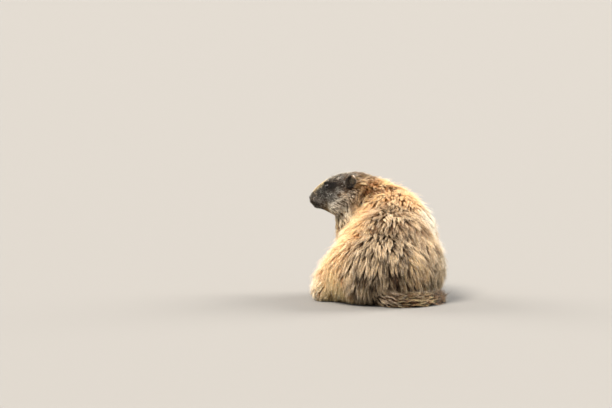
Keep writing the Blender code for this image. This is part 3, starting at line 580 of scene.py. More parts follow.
# The same for an ear, in its own frame and with Y outwards on both sides
EAR_MARKINGS = {
    # Soot in the ear's hollow: painted shade of the hollow
    "hollow": ((0.002, 0.004, -0.001), 0.0095, "soot", "slate", 0.00, 0.20),
    "front_edge": ((0.010, 0.001, -0.001), 0.0050, "soot", "slate", 0.20, 0.60),
    "rim": ((-0.003, 0.001, 0.0130), 0.0040, "rufous", "straw", 0.66, 0.40),
    "back_edge": ((-0.0105, 0.000, 0.003), 0.0036, "slate", "apricot", 0.12, 0.50),
    "back": ((0.000, -0.010, 0.000), 0.0090, "slate", "sand", 0.40, 0.50),
}
MARKING_SHARPNESS = 1.7


def head_frame():
    """The nose tip's place, with its X out of the nose and its Z up."""
    return Matrix.Translation(NOSE_TIP) @ Matrix.Rotation(math.radians(HEAD_TURN), 4, "Z")


def mirrored(point, side):
    """A point of the animal's left side for side 1, and the same on its right for side -1."""
    return Vector((point[0], point[1] * side, point[2]))


def set_back():
    """From the maker's frame to the solids: the middle of the left eye tells how far."""
    low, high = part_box("eye_left")
    return (low + high) / 2 - head_frame() @ Vector(EYE_PLACE)


SHIFT = set_back()


def removed_if_there(name):
    """Clears what an earlier run of an operator left."""
    old = bpy.data.objects.get(name)
    if old:
        bpy.data.objects.remove(old)


def object_of(mesh, name):
    removed_if_there(name)
    obj = bpy.data.objects.new(name, mesh)
    bpy.context.scene.collection.objects.link(obj)
    return obj


def object_from_bmesh(bm, name):
    mesh = bpy.data.meshes.new(name)
    bm.to_mesh(mesh)
    bm.free()
    return object_of(mesh, name)


def applied(obj):
    """Makes the evaluated mesh the object's own."""
    graph = bpy.context.evaluated_depsgraph_get()
    mesh = bpy.data.meshes.new_from_object(obj.evaluated_get(graph))
    obj.modifiers.clear()
    obj.data = mesh
    return obj


def finished(obj, slot, material, *nodes):
    """Moves a piece to its place round the solids and hands it over to the frame."""
    obj.data.transform(Matrix.Translation(SHIFT))
    obj.data.materials.clear()
    obj.data.materials.append(material)
    obj.data.shade_smooth()
    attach(obj, "root")
    if nodes:
        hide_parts(*nodes)
    return obj


def melted(obj, grid, smoothing):
    """One surface round all closed shapes of an object."""
    remesh = obj.modifiers.new("melt", "REMESH")
    remesh.mode = "VOXEL"
    remesh.voxel_size = grid
    smooth = obj.modifiers.new("smooth", "SMOOTH")
    smooth.factor = SMOOTHING_FACTOR
    smooth.iterations = smoothing
    return applied(obj)


def joined(name, *objects):
    bm = bmesh.new()
    for obj in objects:
        bm.from_mesh(obj.data)
        bpy.data.objects.remove(obj)
    return object_from_bmesh(bm, name)


def add_ellipsoid(bm, place, radii, detail=5):
    """A ball with a radius for each axis of its place."""
    shape = place @ Matrix.Diagonal((*radii, 1.0))
    bmesh.ops.create_icosphere(bm, subdivisions=detail, radius=1.0, matrix=shape)


def add_taper(bm, start, end, start_radius, end_radius, detail=4):
    """A closed limb segment: the hull of a ball at each end."""
    hull = bmesh.new()
    for centre, radius in ((start, start_radius), (end, end_radius)):
        bmesh.ops.create_icosphere(
            hull, subdivisions=detail, radius=radius, matrix=Matrix.Translation(centre)
        )
    bmesh.ops.delete(hull, geom=hull.edges[:], context="EDGES_FACES")
    bmesh.ops.convex_hull(hull, input=hull.verts[:])
    loose = [v for v in hull.verts if not v.link_faces]
    bmesh.ops.delete(hull, geom=loose, context="VERTS")
    mesh = bpy.data.meshes.new("taper")
    hull.to_mesh(mesh)
    hull.free()
    bm.from_mesh(mesh)
    bpy.data.meshes.remove(mesh)


def eye_frame(side):
    """The eye's place, with its X along the slit, lower in front, and its Y outwards."""
    outward = mirrored(EYE_OUTWARD, side).normalized()
    along = outward.cross(Vector((0, 0, 1))).normalized()
    up = along.cross(outward)
    turn = Matrix((along, outward, up)).transposed().to_4x4()
    slant = Matrix.Rotation(math.radians(EYE_SLANT * side), 4, "Y")
    place = mirrored(EYE_PLACE, side) - outward * EYE_SINK
    return head_frame() @ Matrix.Translation(place) @ turn @ slant


def body_form():
    """Trunk, neck and legs, under the coat."""
    bm = bmesh.new()
    settled = Vector((0, 0, -BODY_COAT / 2))
    for centre, radii, heading in BODY_MASSES.values():
        place = Matrix.Translation(Vector(centre) + settled)
        place = place @ Matrix.Rotation(math.radians(heading), 4, "Z")
        inner = (radii[0] - BODY_COAT, radii[1] - BODY_COAT, radii[2] - BODY_COAT / 2)
        add_ellipsoid(bm, place, inner)
    for start, end, *radii in NECK:
        add_taper(bm, start, end, *(r - BODY_COAT for r in radii))
    for start, end, *radii in LIMBS:
        inner = [r - min(BODY_COAT, r * LIMB_COAT_SHARE) for r in radii]
        ends = [Vector(p) + Vector((0, 0, i - r)) for p, r, i in zip((start, end), radii, inner)]
        add_taper(bm, *ends, *inner)
    return melted(object_from_bmesh(bm, "body_form"), BODY_GRID, BODY_SMOOTHING)


def head_coat_at(back):
    """Depth of the coat so far behind the nose tip."""
    share = min(1.0, back / HEAD_COAT_REACH)
    return HEAD_COAT[0] + (HEAD_COAT[1] - HEAD_COAT[0]) * share


def section_point(section, angle):
    """A point of a rounded section of the head, in the head's frame, on the skin."""
    back, top, bottom, half_width = section
    depth = head_coat_at(back)
    power = 2.0 / SECTION_POWER
    across = math.copysign(abs(math.cos(angle)) ** power, math.cos(angle))
    upwards = math.copysign(abs(math.sin(angle)) ** power, math.sin(angle))
    height = (top + bottom) / 2 + upwards * ((top - bottom) / 2 - depth)
    return Vector((-back, across * (half_width - depth), height))


def head_form():
    """Skull, cheeks, brows, lips and chin, under the coat."""
    place = head_frame()
    bm = bmesh.new()
    rings = []
    for section in HEAD_SECTIONS:
        angles = [2 * math.pi * i / SECTION_POINTS for i in range(SECTION_POINTS)]
        rings.append([bm.verts.new(place @ section_point(section, a)) for a in angles])
    for front, back in zip(rings, rings[1:]):
        for i in range(SECTION_POINTS):
            j = (i + 1) % SECTION_POINTS
            bm.faces.new((front[i], front[j], back[j], back[i]))
    bm.faces.new(rings[0][::-1])
    bm.faces.new(rings[-1])
    bmesh.ops.recalc_face_normals(bm, faces=bm.faces[:])
    for side in (1, -1):
        add_ellipsoid(bm, eye_frame(side), (SOCKET_RADIUS,) * 3, detail=4)
        for centre, radii in FACE_MASSES.values():
            depth = head_coat_at(-centre[0])
            there = place @ Matrix.Translation(mirrored(centre, side))
            add_ellipsoid(bm, there, [r - depth for r in radii], detail=4)
    return melted(object_from_bmesh(bm, "head_form"), HEAD_GRID, HEAD_SMOOTHING)


def foot_frame(name):
    """The heel's place on the floor, with its X towards the toes."""
    foot = FEET[name]
    turn = Matrix.Rotation(math.radians(foot.heading - 90), 4, "Z")
    return Matrix.Translation((*foot.heel, 0.0)) @ turn


def toe_tips(name):
    """Where each toe ends, in the foot's frame: the middle ones reach furthest."""
    foot = FEET[name]
    tips = []
    for i in range(foot.toes):
        across = 2 * i / (foot.toes - 1) - 1
        reach = foot.length * (1 - TOE_ARC * across * across)
        tips.append(Vector((reach, across * foot.width / 2 * TOE_SPREAD, TOE_RADII[1] - TOE_SINK)))
    return tips


def foot_form(name):
    """Sole, ball and toes of one foot."""
    foot = FEET[name]
    place = foot_frame(name)
    radii = (SOLE_RADIUS - FOOT_COAT, SOLE_RADIUS * KNUCKLE_TAPER - FOOT_COAT)
    heel = Vector((SOLE_RADIUS, 0.0, radii[0] - SOLE_SINK))
    forwards, sideways = KNUCKLE_SHARES
    toe_radii = [r - FOOT_COAT for r in TOE_RADII]
    bm = bmesh.new()
    for side in (1, -1):
        knuckle = Vector((foot.length * forwards, side * foot.width * sideways, radii[0] - SOLE_SINK))
        add_taper(bm, place @ heel, place @ knuckle, *radii, detail=3)
    slimmer = min(1.0, TOE_ROOM * foot.width * TOE_SPREAD / (foot.toes - 1) / TOE_RADII[1])
    for tip in toe_tips(name):
        forwards, sideways = TOE_ROOT_SHARES
        root = Vector((foot.length * forwards, tip.y * sideways, TOE_RADII[0] + TOE_LIFT))
        add_taper(bm, place @ root, place @ tip, *(r * slimmer for r in toe_radii), detail=3)
    return melted(object_from_bmesh(bm, name + "_form"), FOOT_GRID, FOOT_SMOOTHING)


def tail_form():
    """The tail under its coat, lying on the floor."""
    bm = bmesh.new()
    pairs = list(zip(TAIL_POINTS, TAIL_RADII))
    for (start, start_radius), (end, end_radius) in zip(pairs, pairs[1:]):
        ends = [Vector(p) - Vector((0, 0, TAIL_COAT)) for p in (start, end)]
        add_taper(bm, *ends, start_radius - TAIL_COAT, end_radius - TAIL_COAT)
    return object_from_bmesh(bm, "tail_form")


def points_of(mesh):
    values = np.empty(len(mesh.vertices) * 3, np.float32)
    mesh.vertices.foreach_get("co", values)
    return values.reshape(-1, 3).astype(float)


def set_points(mesh, points):
    mesh.vertices.foreach_set("co", points.astype(np.float32).ravel())
    mesh.update()


def kept_off_floor(mesh):
    """Lifts what would go through the floor."""
    points = points_of(mesh)
    points[:, 2] = np.maximum(points[:, 2], FLOOR_CLEARANCE)
    set_points(mesh, points)


def unwrap(obj):
    """An unwrap of the skin's own shape, through which its colours can be baked."""
    bpy.context.view_layer.objects.active = obj
    obj.select_set(True)
    bpy.ops.object.mode_set(mode="EDIT")
    bpy.ops.mesh.select_all(action="SELECT")
    bpy.ops.uv.smart_project(angle_limit=math.radians(66), island_margin=0.002)
    bpy.ops.object.mode_set(mode="OBJECT")
    obj.select_set(False)
    obj.data.uv_layers[0].name = "OFBake"


def smooth_step(low, high, value):
    """From 0 at low to 1 at high, without a kink; low may be the larger one."""
    share = np.clip((value - low) / (high - low), 0, 1)
    return share * share * (3 - 2 * share)


def unit(vectors):
    lengths = np.linalg.norm(vectors, axis=-1, keepdims=True)
    return vectors / np.maximum(lengths, TINY)


def along_path(points, path):
    """For each point: distance from a path, the vector from it, the path's way and the share along it."""
    path = np.array(path, float)
    steps = np.diff(path, axis=0)
    lengths = np.linalg.norm(steps, axis=1)
    runs = np.concatenate([[0], np.cumsum(lengths)])
    distance = np.full(len(points), np.inf)
    apart = np.zeros_like(points)
    way = np.zeros_like(points)
    share = np.zeros(len(points))
    for start, step, length, run in zip(path, steps, lengths, runs):
        along = np.clip((points - start) @ step / length**2, 0, 1)
        away = points - start - along[:, None] * step
        far = np.linalg.norm(away, axis=1)
        near = far < distance
        distance[near] = far[near]
        apart[near] = away[near]
        way[near] = step / length
        share[near] = (run + along[near] * length) / runs[-1]
    return distance, apart, way, share


def in_frame(place, points):
    """Points as seen from a place."""
    turn = np.array(place.inverted())
    return points @ turn[:3, :3].T + turn[:3, 3]


def marks_on(points):
    """The markings of body and head, each with the points in its own frame; the head's are mirrored."""
    places = in_frame(head_frame(), points)
    places[:, 1] = np.abs(places[:, 1])
    body = [(points, mark) for mark in BODY_MARKINGS.values()]
    return body + [(places, mark) for mark in FACE_MARKINGS.values()]


def marks_on_ear(side):
    """The same for one ear."""

    def marks(points):
        places = in_frame(ear_frame(side), points)
        places[:, 1] *= side
        return [(places, mark) for mark in EAR_MARKINGS.values()]

    return marks


def colours_of(marks):
    """Dark hair, light hair, share of light and strength of the mottling, mixed from the markings around."""
    weights, values = [], []
    for where, (middle, reach, dark, light, share, contrast) in marks:
        distance = np.linalg.norm(where - np.array(middle), axis=1) / reach
        weight = np.exp(-(distance**2)) + FAINT * np.exp(-distance)
        weights.append(weight**MARKING_SHARPNESS)
        values.append((*linear(HAIR_COLOURS[dark]), *linear(HAIR_COLOURS[light]), share, contrast))
    weights = np.array(weights)
    mixed = (weights / weights.sum(axis=0)).T @ np.array(values)
    return mixed[:, :3], mixed[:, 3:6], mixed[:, 6], mixed[:, 7]


def belonging(points):
    """How far each point belongs to the head, the tail, a lower foreleg and a foot, from 0 to 1."""
    facing = np.array(Vector(HEAD_CUT[1]).normalized())
    head = smooth_step(*HEAD_BLEND, (points - np.array(HEAD_CUT[0])) @ facing)
    distance, _, _, share = along_path(points, TAIL_POINTS)
    radius = np.interp(share, np.linspace(0, 1, len(TAIL_RADII)), TAIL_RADII) - TAIL_COAT
    tail = 1 - smooth_step(*TAIL_BLEND, distance - radius)
    leg = np.zeros(len(points))
    for start, end, start_radius, end_radius in LOWER_FORELEGS:
        distance, _, _, share = along_path(points, (start, end))
        radius = start_radius + (end_radius - start_radius) * share
        leg = np.maximum(leg, 1 - smooth_step(*LEG_BLEND, distance - radius))
    foot = np.zeros(len(points))
    for name, sizes in FEET.items():
        there = in_frame(foot_frame(name), points)
        sides = [sizes.width / 2 + limit for limit in FOOT_SIDE_BLEND]
        toes = [sizes.length + limit for limit in TOE_BLEND]
        inside = smooth_step(*HEEL_BLEND, there[:, 0]) * smooth_step(*INSTEP_BLEND, there[:, 2])
        inside *= smooth_step(*sides, np.abs(there[:, 1]))
        foot = np.maximum(foot, inside * smooth_step(*toes, there[:, 0]))
    leg *= 1 - foot
    return head, tail * (1 - foot), leg, foot


def parting_flow(points):
    """Along the back and away from its midline, mixed over the midline's legs so that it turns softly."""
    legs = [along_path(points, leg) for leg in zip(MIDLINE, MIDLINE[1:])]
    distances = np.array([leg[0] for leg in legs])
    shares = np.exp(-(distances - distances.min(axis=0)) / PARTING_BLEND)
    shares /= shares.sum(axis=0)
    flow = np.zeros_like(points)
    for (distance, apart, way, _), share in zip(legs, shares):
        pull = PARTING_PULL * np.minimum(1, distance / PARTING_WIDTH)
        flow += (way + unit(apart) * pull[:, None]) * share[:, None]
    return flow - np.array((0, 0, DROOP))


def lie_of(points, normals):
    """The way the hair lies: back from the nose, along the back, parting from its midline, and down."""
    head, tail, leg, foot = belonging(points)
    flow = parting_flow(points)
    places = in_frame(head_frame(), points)
    back = np.array(head_frame().to_3x3() @ Vector((-1, 0, 0)))
    down = smooth_step(*JAW_BLEND, places[:, 2]) * JAW_DROOP
    head_flow = back - np.outer(down, (0, 0, 1))
    tail_flow = along_path(points, TAIL_POINTS)[2]
    leg_flow = np.array(LEG_LIE)
    turns = np.array([foot_frame(name).to_3x3() @ Vector((1, 0, 0)) for name in FEET])
    soles = np.array([foot_frame(name) @ Vector((FEET[name].length / 2, 0, 0)) for name in FEET])
    foot_flow = turns[np.argmin(np.linalg.norm(points[:, None] - soles, axis=2), axis=1)]
    rest = np.clip(1 - head - tail - leg - foot, 0, 1)
    flow = unit(flow) * rest[:, None] + unit(head_flow) * head[:, None] + tail_flow * tail[:, None]
    flow += leg_flow * leg[:, None] + foot_flow * foot[:, None]
    flow -= normals * np.sum(flow * normals, axis=1)[:, None]
    return unit(flow)


def coat_at(points):
    """The coat's sizes at each point, a column for each."""
    head, tail, leg, foot = belonging(points)
    places = in_frame(head_frame(), points)
    back = smooth_step(*CROWN_BLEND, -places[:, 0])
    low = smooth_step(*CHEEK_HEIGHT_BLEND, places[:, 2]) * smooth_step(*CHEEK_BLEND, -places[:, 0])
    sizes = {name: np.array(values, float) for name, values in COAT_SIZES.items()}
    face = sizes["muzzle"] + np.outer(back, sizes["crown"] - sizes["muzzle"])
    face += low[:, None] * (sizes["cheek"] - face)
    eye = np.min([eye_distance(places, side) for side in (1, -1)], axis=0)
    near_eye = EYE_HAIR_SHARE + (1 - EYE_HAIR_SHARE) * smooth_step(*EYE_HAIR_BLEND, eye)
    face[:, [LENGTH, HEIGHT]] *= near_eye[:, None]
    mane = smooth_step(*MANE_BLEND, -places[:, 0])
    face += mane[:, None] * (sizes["nape"] - face)
    body = np.repeat(sizes["body"][None], len(points), axis=0)
    from_head = np.linalg.norm(points - np.array(OCCIPUT), axis=1) / FULL_COAT_REACH
    from_floor = FLOOR_SHARE + points[:, 2] / FULL_COAT_HEIGHT
    share = SHORTEST_SHARE + (1 - SHORTEST_SHARE) * np.clip(np.minimum(from_head, from_floor), 0, 1)
    body[:, LENGTH] *= share
    body[:, HEIGHT] *= (1 + share) / 2
    rest = np.clip(1 - head - tail - leg - foot, 0, 1)
    mixed = body * rest[:, None] + face * head[:, None] + np.outer(tail, sizes["tail"])
    mixed += np.outer(leg, sizes["leg"]) + np.outer(foot, sizes["foot"])
    return mixed / (rest + head + tail + leg + foot)[:, None]


def eye_distance(places, side):
    """Distance from an eye, for points in the head's frame."""
    return np.linalg.norm(places - np.array(mirrored(EYE_PLACE, side)), axis=1)


def slit_edge(around):
    """Angle from the eye's axis to the edge of the slit, for a way round it: an almond."""
    wide, high = (math.radians(a) for a in SLIT_ANGLES)
    across = np.abs(np.cos(around) / wide) ** SLIT_POWER
    upright = np.abs(np.sin(around) / high) ** SLIT_POWER
    return (across + upright) ** (-1 / SLIT_POWER)


def slit_share(points, side):
    """How far each point is from the eye's axis, as a share of the slit, and its distance from the eye."""
    places = in_frame(eye_frame(side), points)
    distance = np.linalg.norm(places, axis=1)
    polar = np.arccos(np.clip(places[:, 1] / np.maximum(distance, TINY), -1, 1))
    return polar / slit_edge(np.arctan2(places[:, 2], places[:, 0])), distance


def zone_of(points):
    """The name of the coat piece that each point belongs to."""
    head, tail, leg, foot = belonging(points)
    centres = np.array(list(COAT_ZONES.values()))
    names = np.array(list(COAT_ZONES), dtype=object)
    zones = names[np.argmin(np.linalg.norm(points[:, None] - centres, axis=2), axis=1)]
    places = in_frame(head_frame(), points)
    zones[(leg > MOSTLY) | (foot > MOSTLY)] = "feet"
    zones[tail > MOSTLY] = "tail"
    on_head = head > MOSTLY
    zones[on_head] = "cheeks"
    zones[on_head & (places[:, 2] > CROWN_FROM)] = "crown"
    zones[on_head & (places[:, 0] > FACE_UNTIL)] = "face"
    return zones


def tree_of(points):
    """A tree in which the nearest of some points is found."""
    tree = KDTree(len(points))
    for i, point in enumerate(points.tolist()):
        tree.insert(point, i)
    tree.balance()
    return tree


class Surface:
    """The triangles of a mesh, with normals and places on its unwrap, for setting hair on them."""

    def __init__(self, obj):
        mesh = obj.data
        mesh.calc_loop_triangles()
        count = len(mesh.loop_triangles)
        corners = np.empty(count * 3, np.int32)
        mesh.loop_triangles.foreach_get("vertices", corners)
        loops = np.empty(count * 3, np.int32)
        mesh.loop_triangles.foreach_get("loops", loops)
        points = points_of(mesh)
        normals = np.empty(len(mesh.vertices) * 3, np.float32)
        mesh.vertices.foreach_get("normal", normals)
        places = np.empty(len(mesh.loops) * 2, np.float32)
        mesh.uv_layers["OFBake"].data.foreach_get("uv", places)
        self.corners = points[corners].reshape(-1, 3, 3)
        self.normals = normals.reshape(-1, 3)[corners].reshape(-1, 3, 3).astype(float)
        self.places = places.reshape(-1, 2)[loops].reshape(-1, 3, 2).astype(float)
        self.tree = BVHTree.FromPolygons(points.tolist(), corners.reshape(-1, 3).tolist())

    def nearest(self, points):
        """The nearest points of the surface and the smoothed normals there."""
        found = [self.tree.find_nearest(p) for p in points.tolist()]
        where = np.array([f[0] for f in found])
        faces = np.array([f[2] for f in found])
        corners = self.corners[faces]
        spans = np.linalg.norm(corners - where[:, None], axis=2)
        shares = 1 / (spans + FAINT)
        normals = np.sum(self.normals[faces] * shares[:, :, None], axis=1)
        return where, unit(normals)

    def roots(self, wanted, spacing_at, rng):
        """Roots at about the wanted spacing: points, normals and places on the unwrap."""
        middles = self.corners.mean(axis=1)
        sides = self.corners[:, 1:] - self.corners[:, :1]
        areas = np.linalg.norm(np.cross(sides[:, 0], sides[:, 1]), axis=1) / 2
        density = areas / spacing_at(middles) ** 2
        density[~wanted(middles, unit(self.normals.mean(axis=1)))] = 0
        tries = int(density.sum() * ROOT_TRIES)
        faces = rng.choice(len(density), size=tries, p=density / density.sum())
        shares = rng.dirichlet((1, 1, 1), size=tries)
        points = np.einsum("ij,ijk->ik", shares, self.corners[faces])
        normals = unit(np.einsum("ij,ijk->ik", shares, self.normals[faces]))
        places = np.einsum("ij,ijk->ik", shares, self.places[faces])
        spacing = spacing_at(points) * ROOT_ROOM
        tree = tree_of(points)
        free = np.ones(tries, bool)
        kept = []
        for i, (point, apart) in enumerate(zip(points.tolist(), spacing.tolist())):
            if not free[i]:
                continue
            kept.append(i)
            for _, j, _ in tree.find_range(point, apart):
                free[j] = False
        kept = np.array(kept)
        return points[kept], normals[kept], places[kept]


def guide_lines(surface, roots, normals, lengths, heights, swings, lie):
    """Lines that lie along the coat from their roots: points, ways and normals at each station."""
    lines, ways, ups = [], [], []
    place, normal = roots, normals
    last = 0.0
    for station, rise in zip(STATIONS, RISE):
        flow = lie(place, normal)
        flow = unit(flow + np.cross(flow, normal) * swings[:, None])
        step = (lengths * (station - last))[:, None]
        if station:
            place, normal = surface.nearest(place + flow * step)
        last = station
        lines.append(place + normal * (heights * rise)[:, None])
        ways.append(flow)
        ups.append(normal)
    return np.stack(lines, 1), np.stack(ways, 1), np.stack(ups, 1)


def at_share(lines, shares):
    """Points on each line at its own shares of the length."""
    spot = np.clip(shares, 0, 1) * (len(STATIONS) - 1)
    low = np.minimum(spot.astype(int), len(STATIONS) - 2)
    part = (spot - low)[..., None]
    rows = np.arange(len(lines))[:, None]
    return lines[rows, low] * (1 - part) + lines[rows, low + 1] * part


def gathered(lines, roots, lock_lines, lock_roots, pull):
    """Draws each tuft's line to the line of the lock that it stands in."""
    tree = tree_of(lock_roots)
    nearest = np.array([tree.find(p)[1] for p in roots.tolist()])
    towards = lock_lines[nearest] - lines
    return lines + towards * (pull[:, None] * STATIONS[None] ** LOCK_GATHERING)[..., None], nearest


def hair_colours(marks, tuft_shade, hair_shade, stations):
    """Colour of each hair at its stations: dark at the root and light at the tip, the hair's own banding
    with painted shade deep in the coat and painted sunlight on the tips, mottled from tuft to tuft.
    """
    dark, light, share, contrast = colours_of(marks)
    base = share + contrast * tuft_shade + HAIR_SHADE_SHARE * hair_shade
    lightness = np.interp(stations, PROFILE_STATIONS, LIGHTNESS_PROFILE)
    mix = np.clip(base[:, None] + lightness[None], 0.0, LIGHTEST)[..., None]
    return np.clip(dark[:, None] * (1 - mix) + light[:, None] * mix, 0.0, 1.0)


def hair_mesh(name, lines, sides, ups, widths, colours, places):
    """Closed three-sided hairs, each ending in a point, as one mesh."""
    count, rings = widths.shape
    corners = np.stack([sides, ups * HAIR_THICKNESS, -sides], axis=2) * widths[:, :, None, None]
    body = (lines[:, :-1, None] + corners).reshape(count, rings * 3, 3)
    points = np.concatenate([body, lines[:, -1:]], axis=1)
    points[:, :, 2] = np.maximum(points[:, :, 2], FLOOR_CLEARANCE)
    faces = [(0, 1, 2)]
    for ring in range(rings - 1):
        for i in range(3):
            near, beside = ring * 3 + i, ring * 3 + (i + 1) % 3
            faces += [(near, beside + 3, beside), (near, near + 3, beside + 3)]
    for i in range(3):
        last = (rings - 1) * 3
        faces.append((last + i, rings * 3, last + (i + 1) % 3))
    size = rings * 3 + 1
    faces = np.array(faces, np.int32)[None] + (np.arange(count, dtype=np.int32) * size)[:, None, None]
    faces = faces.reshape(-1, 3)
    shades = np.ones((count, size, 4), np.float32)
    shades[:, :-1, :3] = np.repeat(colours[:, :-1], 3, axis=1)
    shades[:, -1, :3] = colours[:, -1]
    mesh = bpy.data.meshes.new(name)
    mesh.vertices.add(count * size)
    mesh.vertices.foreach_set("co", points.astype(np.float32).ravel())
    mesh.loops.add(faces.size)
    mesh.loops.foreach_set("vertex_index", faces.ravel())
    mesh.polygons.add(len(faces))
    mesh.polygons.foreach_set("loop_start", np.arange(len(faces), dtype=np.int32) * 3)
    mesh.update(calc_edges=True)
    layer = mesh.color_attributes.new("hair_colour", "FLOAT_COLOR", "POINT")
    layer.data.foreach_set("color", shades.ravel())
    places = places.reshape(-1, 2)[faces.ravel()]
    mesh.uv_layers.new(name="OFBake").data.foreach_set("uv", places.astype(np.float32).ravel())
    return object_of(mesh, name)


def patch_places(places, hair_share, hairs, stations):
    """Where each hair's corners lie in its tuft's patch of the unwrap."""
    rings = len(stations) - 1
    cell = PATCH / hairs
    left = places[:, 0] - PATCH / 2 + hair_share * PATCH
    across = np.array([0.0, 0.5, 1.0])
    u = left[:, None, None] + cell[:, None, None] * across[None, None]
    u = np.repeat(u, rings, axis=1)
    v = places[:, 1][:, None, None] + PATCH * (stations[:-1][None, :, None] - 0.5)
    v = v + PATCH_RIDGE * PATCH * np.array([0.0, 1.0, 0.0])[None, None]
    body = np.stack([u, np.broadcast_to(v, u.shape)], axis=-1).reshape(len(places), rings * 3, 2)
    tip = np.stack([left + cell / 2, places[:, 1] + PATCH / 2], axis=-1)[:, None]
    return np.concatenate([body, tip], axis=1)


def hair_stations(sizes):
    """Three rings for a hair where most are long, two where they are short, and a tip."""
    stations = LONG_STATIONS if np.median(sizes[:, LENGTH]) > LONG_HAIR else SHORT_STATIONS
    return np.array(stations)


def tufts_of(surface, roots, normals, places, lie, marks, sizes, rng, locks=None):
    """Hairs of all the tufts at these roots: arrays that hair_mesh takes, one row for each hair."""
    count = len(roots)
    lengths = sizes[:, LENGTH] * rng.uniform(*TUFT_LENGTHS, count)
    heights = sizes[:, HEIGHT] * rng.uniform(*TUFT_HEIGHTS, count)
    swings = rng.normal(0, TUFT_SWING, count)
    lines, ways, ups = guide_lines(surface, roots, normals, lengths, heights, swings, lie)
    tuft_shade = rng.normal(0, TUFT_SHADE, count)
    if locks is not None:
        lock_lines, lock_roots, lock_shade, lock_pull = locks
        pull = lock_pull * sizes[:, PULL]
        lines, nearest = gathered(lines, roots, lock_lines, lock_roots, pull)
        tuft_shade = tuft_shade * SHADE_SHARED + lock_shade[nearest] * SHADE_SHARED

    # From here on there is a row for each hair, with its tuft's values
    hairs = np.round(sizes[:, HAIRS]).astype(int)
    tuft = np.repeat(np.arange(count), hairs)
    first = np.repeat(np.cumsum(hairs) - hairs, hairs)
    length, height, spacing, width = sizes[tuft][:, [LENGTH, HEIGHT, SPACING, WIDTH]].T
    total = len(tuft)
    spread = spacing * TUFT_ROOM * np.sqrt(rng.uniform(0, 1, total))
    angle = rng.uniform(0, 2 * math.pi, total)
    sides = np.cross(ways, ups)
    offset = sides[tuft, 0] * (spread * np.cos(angle))[:, None]
    offset += ways[tuft, 0] * (spread * np.sin(angle))[:, None]
    fine = rng.uniform(0, 1, total) < FINE_HAIRS
    reach = np.where(fine, rng.uniform(*FINE_REACH, total), rng.uniform(*COARSE_REACH, total))

    # The path of a hair follows its tuft's line, starts beside it and draws closer to it
    stations = hair_stations(sizes)
    shares = reach[:, None] * stations[None]
    path = at_share(lines[tuft], shares)
    up = unit(at_share(ups[tuft], shares))
    gather = rng.uniform(*GATHERING, total)
    keep = 1 - gather[:, None] * shares**GATHERING_POWER
    path += offset[:, None] * keep[..., None]
    lift = np.where(fine, np.abs(rng.normal(0, FINE_LIFT, total)), rng.normal(0, COARSE_LIFT, total))
    path += up * ((lift * height)[:, None] * shares)[..., None]
    wave = np.sin(shares * rng.uniform(*WAVES, total)[:, None] + angle[:, None])
    side = unit(at_share(sides[tuft], shares))
    path += side * (wave * shares * length[:, None] * WAVE_SIZE)[..., None]
    path[:, 0] -= up[:, 0] * (ROOT_DEPTH_SHARE * height + ROOT_DEPTH)[:, None]

    # Its section leans to one side and thins towards the tip
    tilt = rng.normal(0, TWIST, total)[:, None, None]
    leaning = unit(side + up * tilt)
    standing = unit(up - side * tilt)
    profile = np.interp(stations[:-1], PROFILE_STATIONS, WIDTH_PROFILE)
    thickness = width * np.where(fine, FINE_WIDTH, COARSE_WIDTH) * rng.uniform(*WIDTH_SPREAD, total)
    widths = thickness[:, None] / 2 * profile[None]
    shade = rng.normal(0, HAIR_SHADE, total) + FINE_SHADE * fine
    colours = hair_colours(marks(roots[tuft]), tuft_shade[tuft], shade, stations)
    share = (np.arange(total) - first) / hairs[tuft]
    patches = patch_places(places[tuft], share, hairs[tuft].astype(float), stations)
    return path, leaning[:, :-1], standing[:, :-1], widths, colours, patches


def node(tree, kind, links=None, **settings):
    """Adds a node with its settings, and links or sets its inputs."""
    made = tree.nodes.new(kind)
    for key, value in settings.items():
        setattr(made, key, value)
    for socket, value in (links or {}).items():
        if isinstance(value, bpy.types.NodeSocket):
            tree.links.new(value, made.inputs[socket])
        else:
            made.inputs[socket].default_value = value
    return made


def blank_material(name):
    """A material of this name with an empty tree: one that pieces already wear is made again in place."""
    made = bpy.data.materials.get(name) or bpy.data.materials.new(name)
    made.use_nodes = True
    made.node_tree.nodes.clear()
    return made, made.node_tree


def surfaced(tree, colour, roughness, bump=None, **sockets):
    """The shader and the output that end every material here."""
    shader = node(tree, "ShaderNodeBsdfPrincipled", {"Roughness": roughness})
    if isinstance(colour, bpy.types.NodeSocket):
        tree.links.new(colour, shader.inputs["Base Color"])
    else:
        shader.inputs["Base Color"].default_value = (*colour, 1.0)
    for name, value in sockets.items():
        shader.inputs[name.replace("_", " ")].default_value = value
    if bump:
        tree.links.new(bump, shader.inputs["Normal"])
    node(tree, "ShaderNodeOutputMaterial", {"Surface": shader.outputs[0]})


def set_stops(ramp, stops):
    """Gives a colour ramp its stops, each a place from 0 to 1 and a linear colour."""
    elements = ramp.color_ramp.elements
    while len(elements) < len(stops):
        elements.new(0.5)
    for element, (position, colour) in zip(elements, stops):
        element.position = position
        element.color = (*colour, 1)


def from_to(codes):
    """Stops for a plain run from one colour to another."""
    return tuple(enumerate(linear(code) for code in codes))


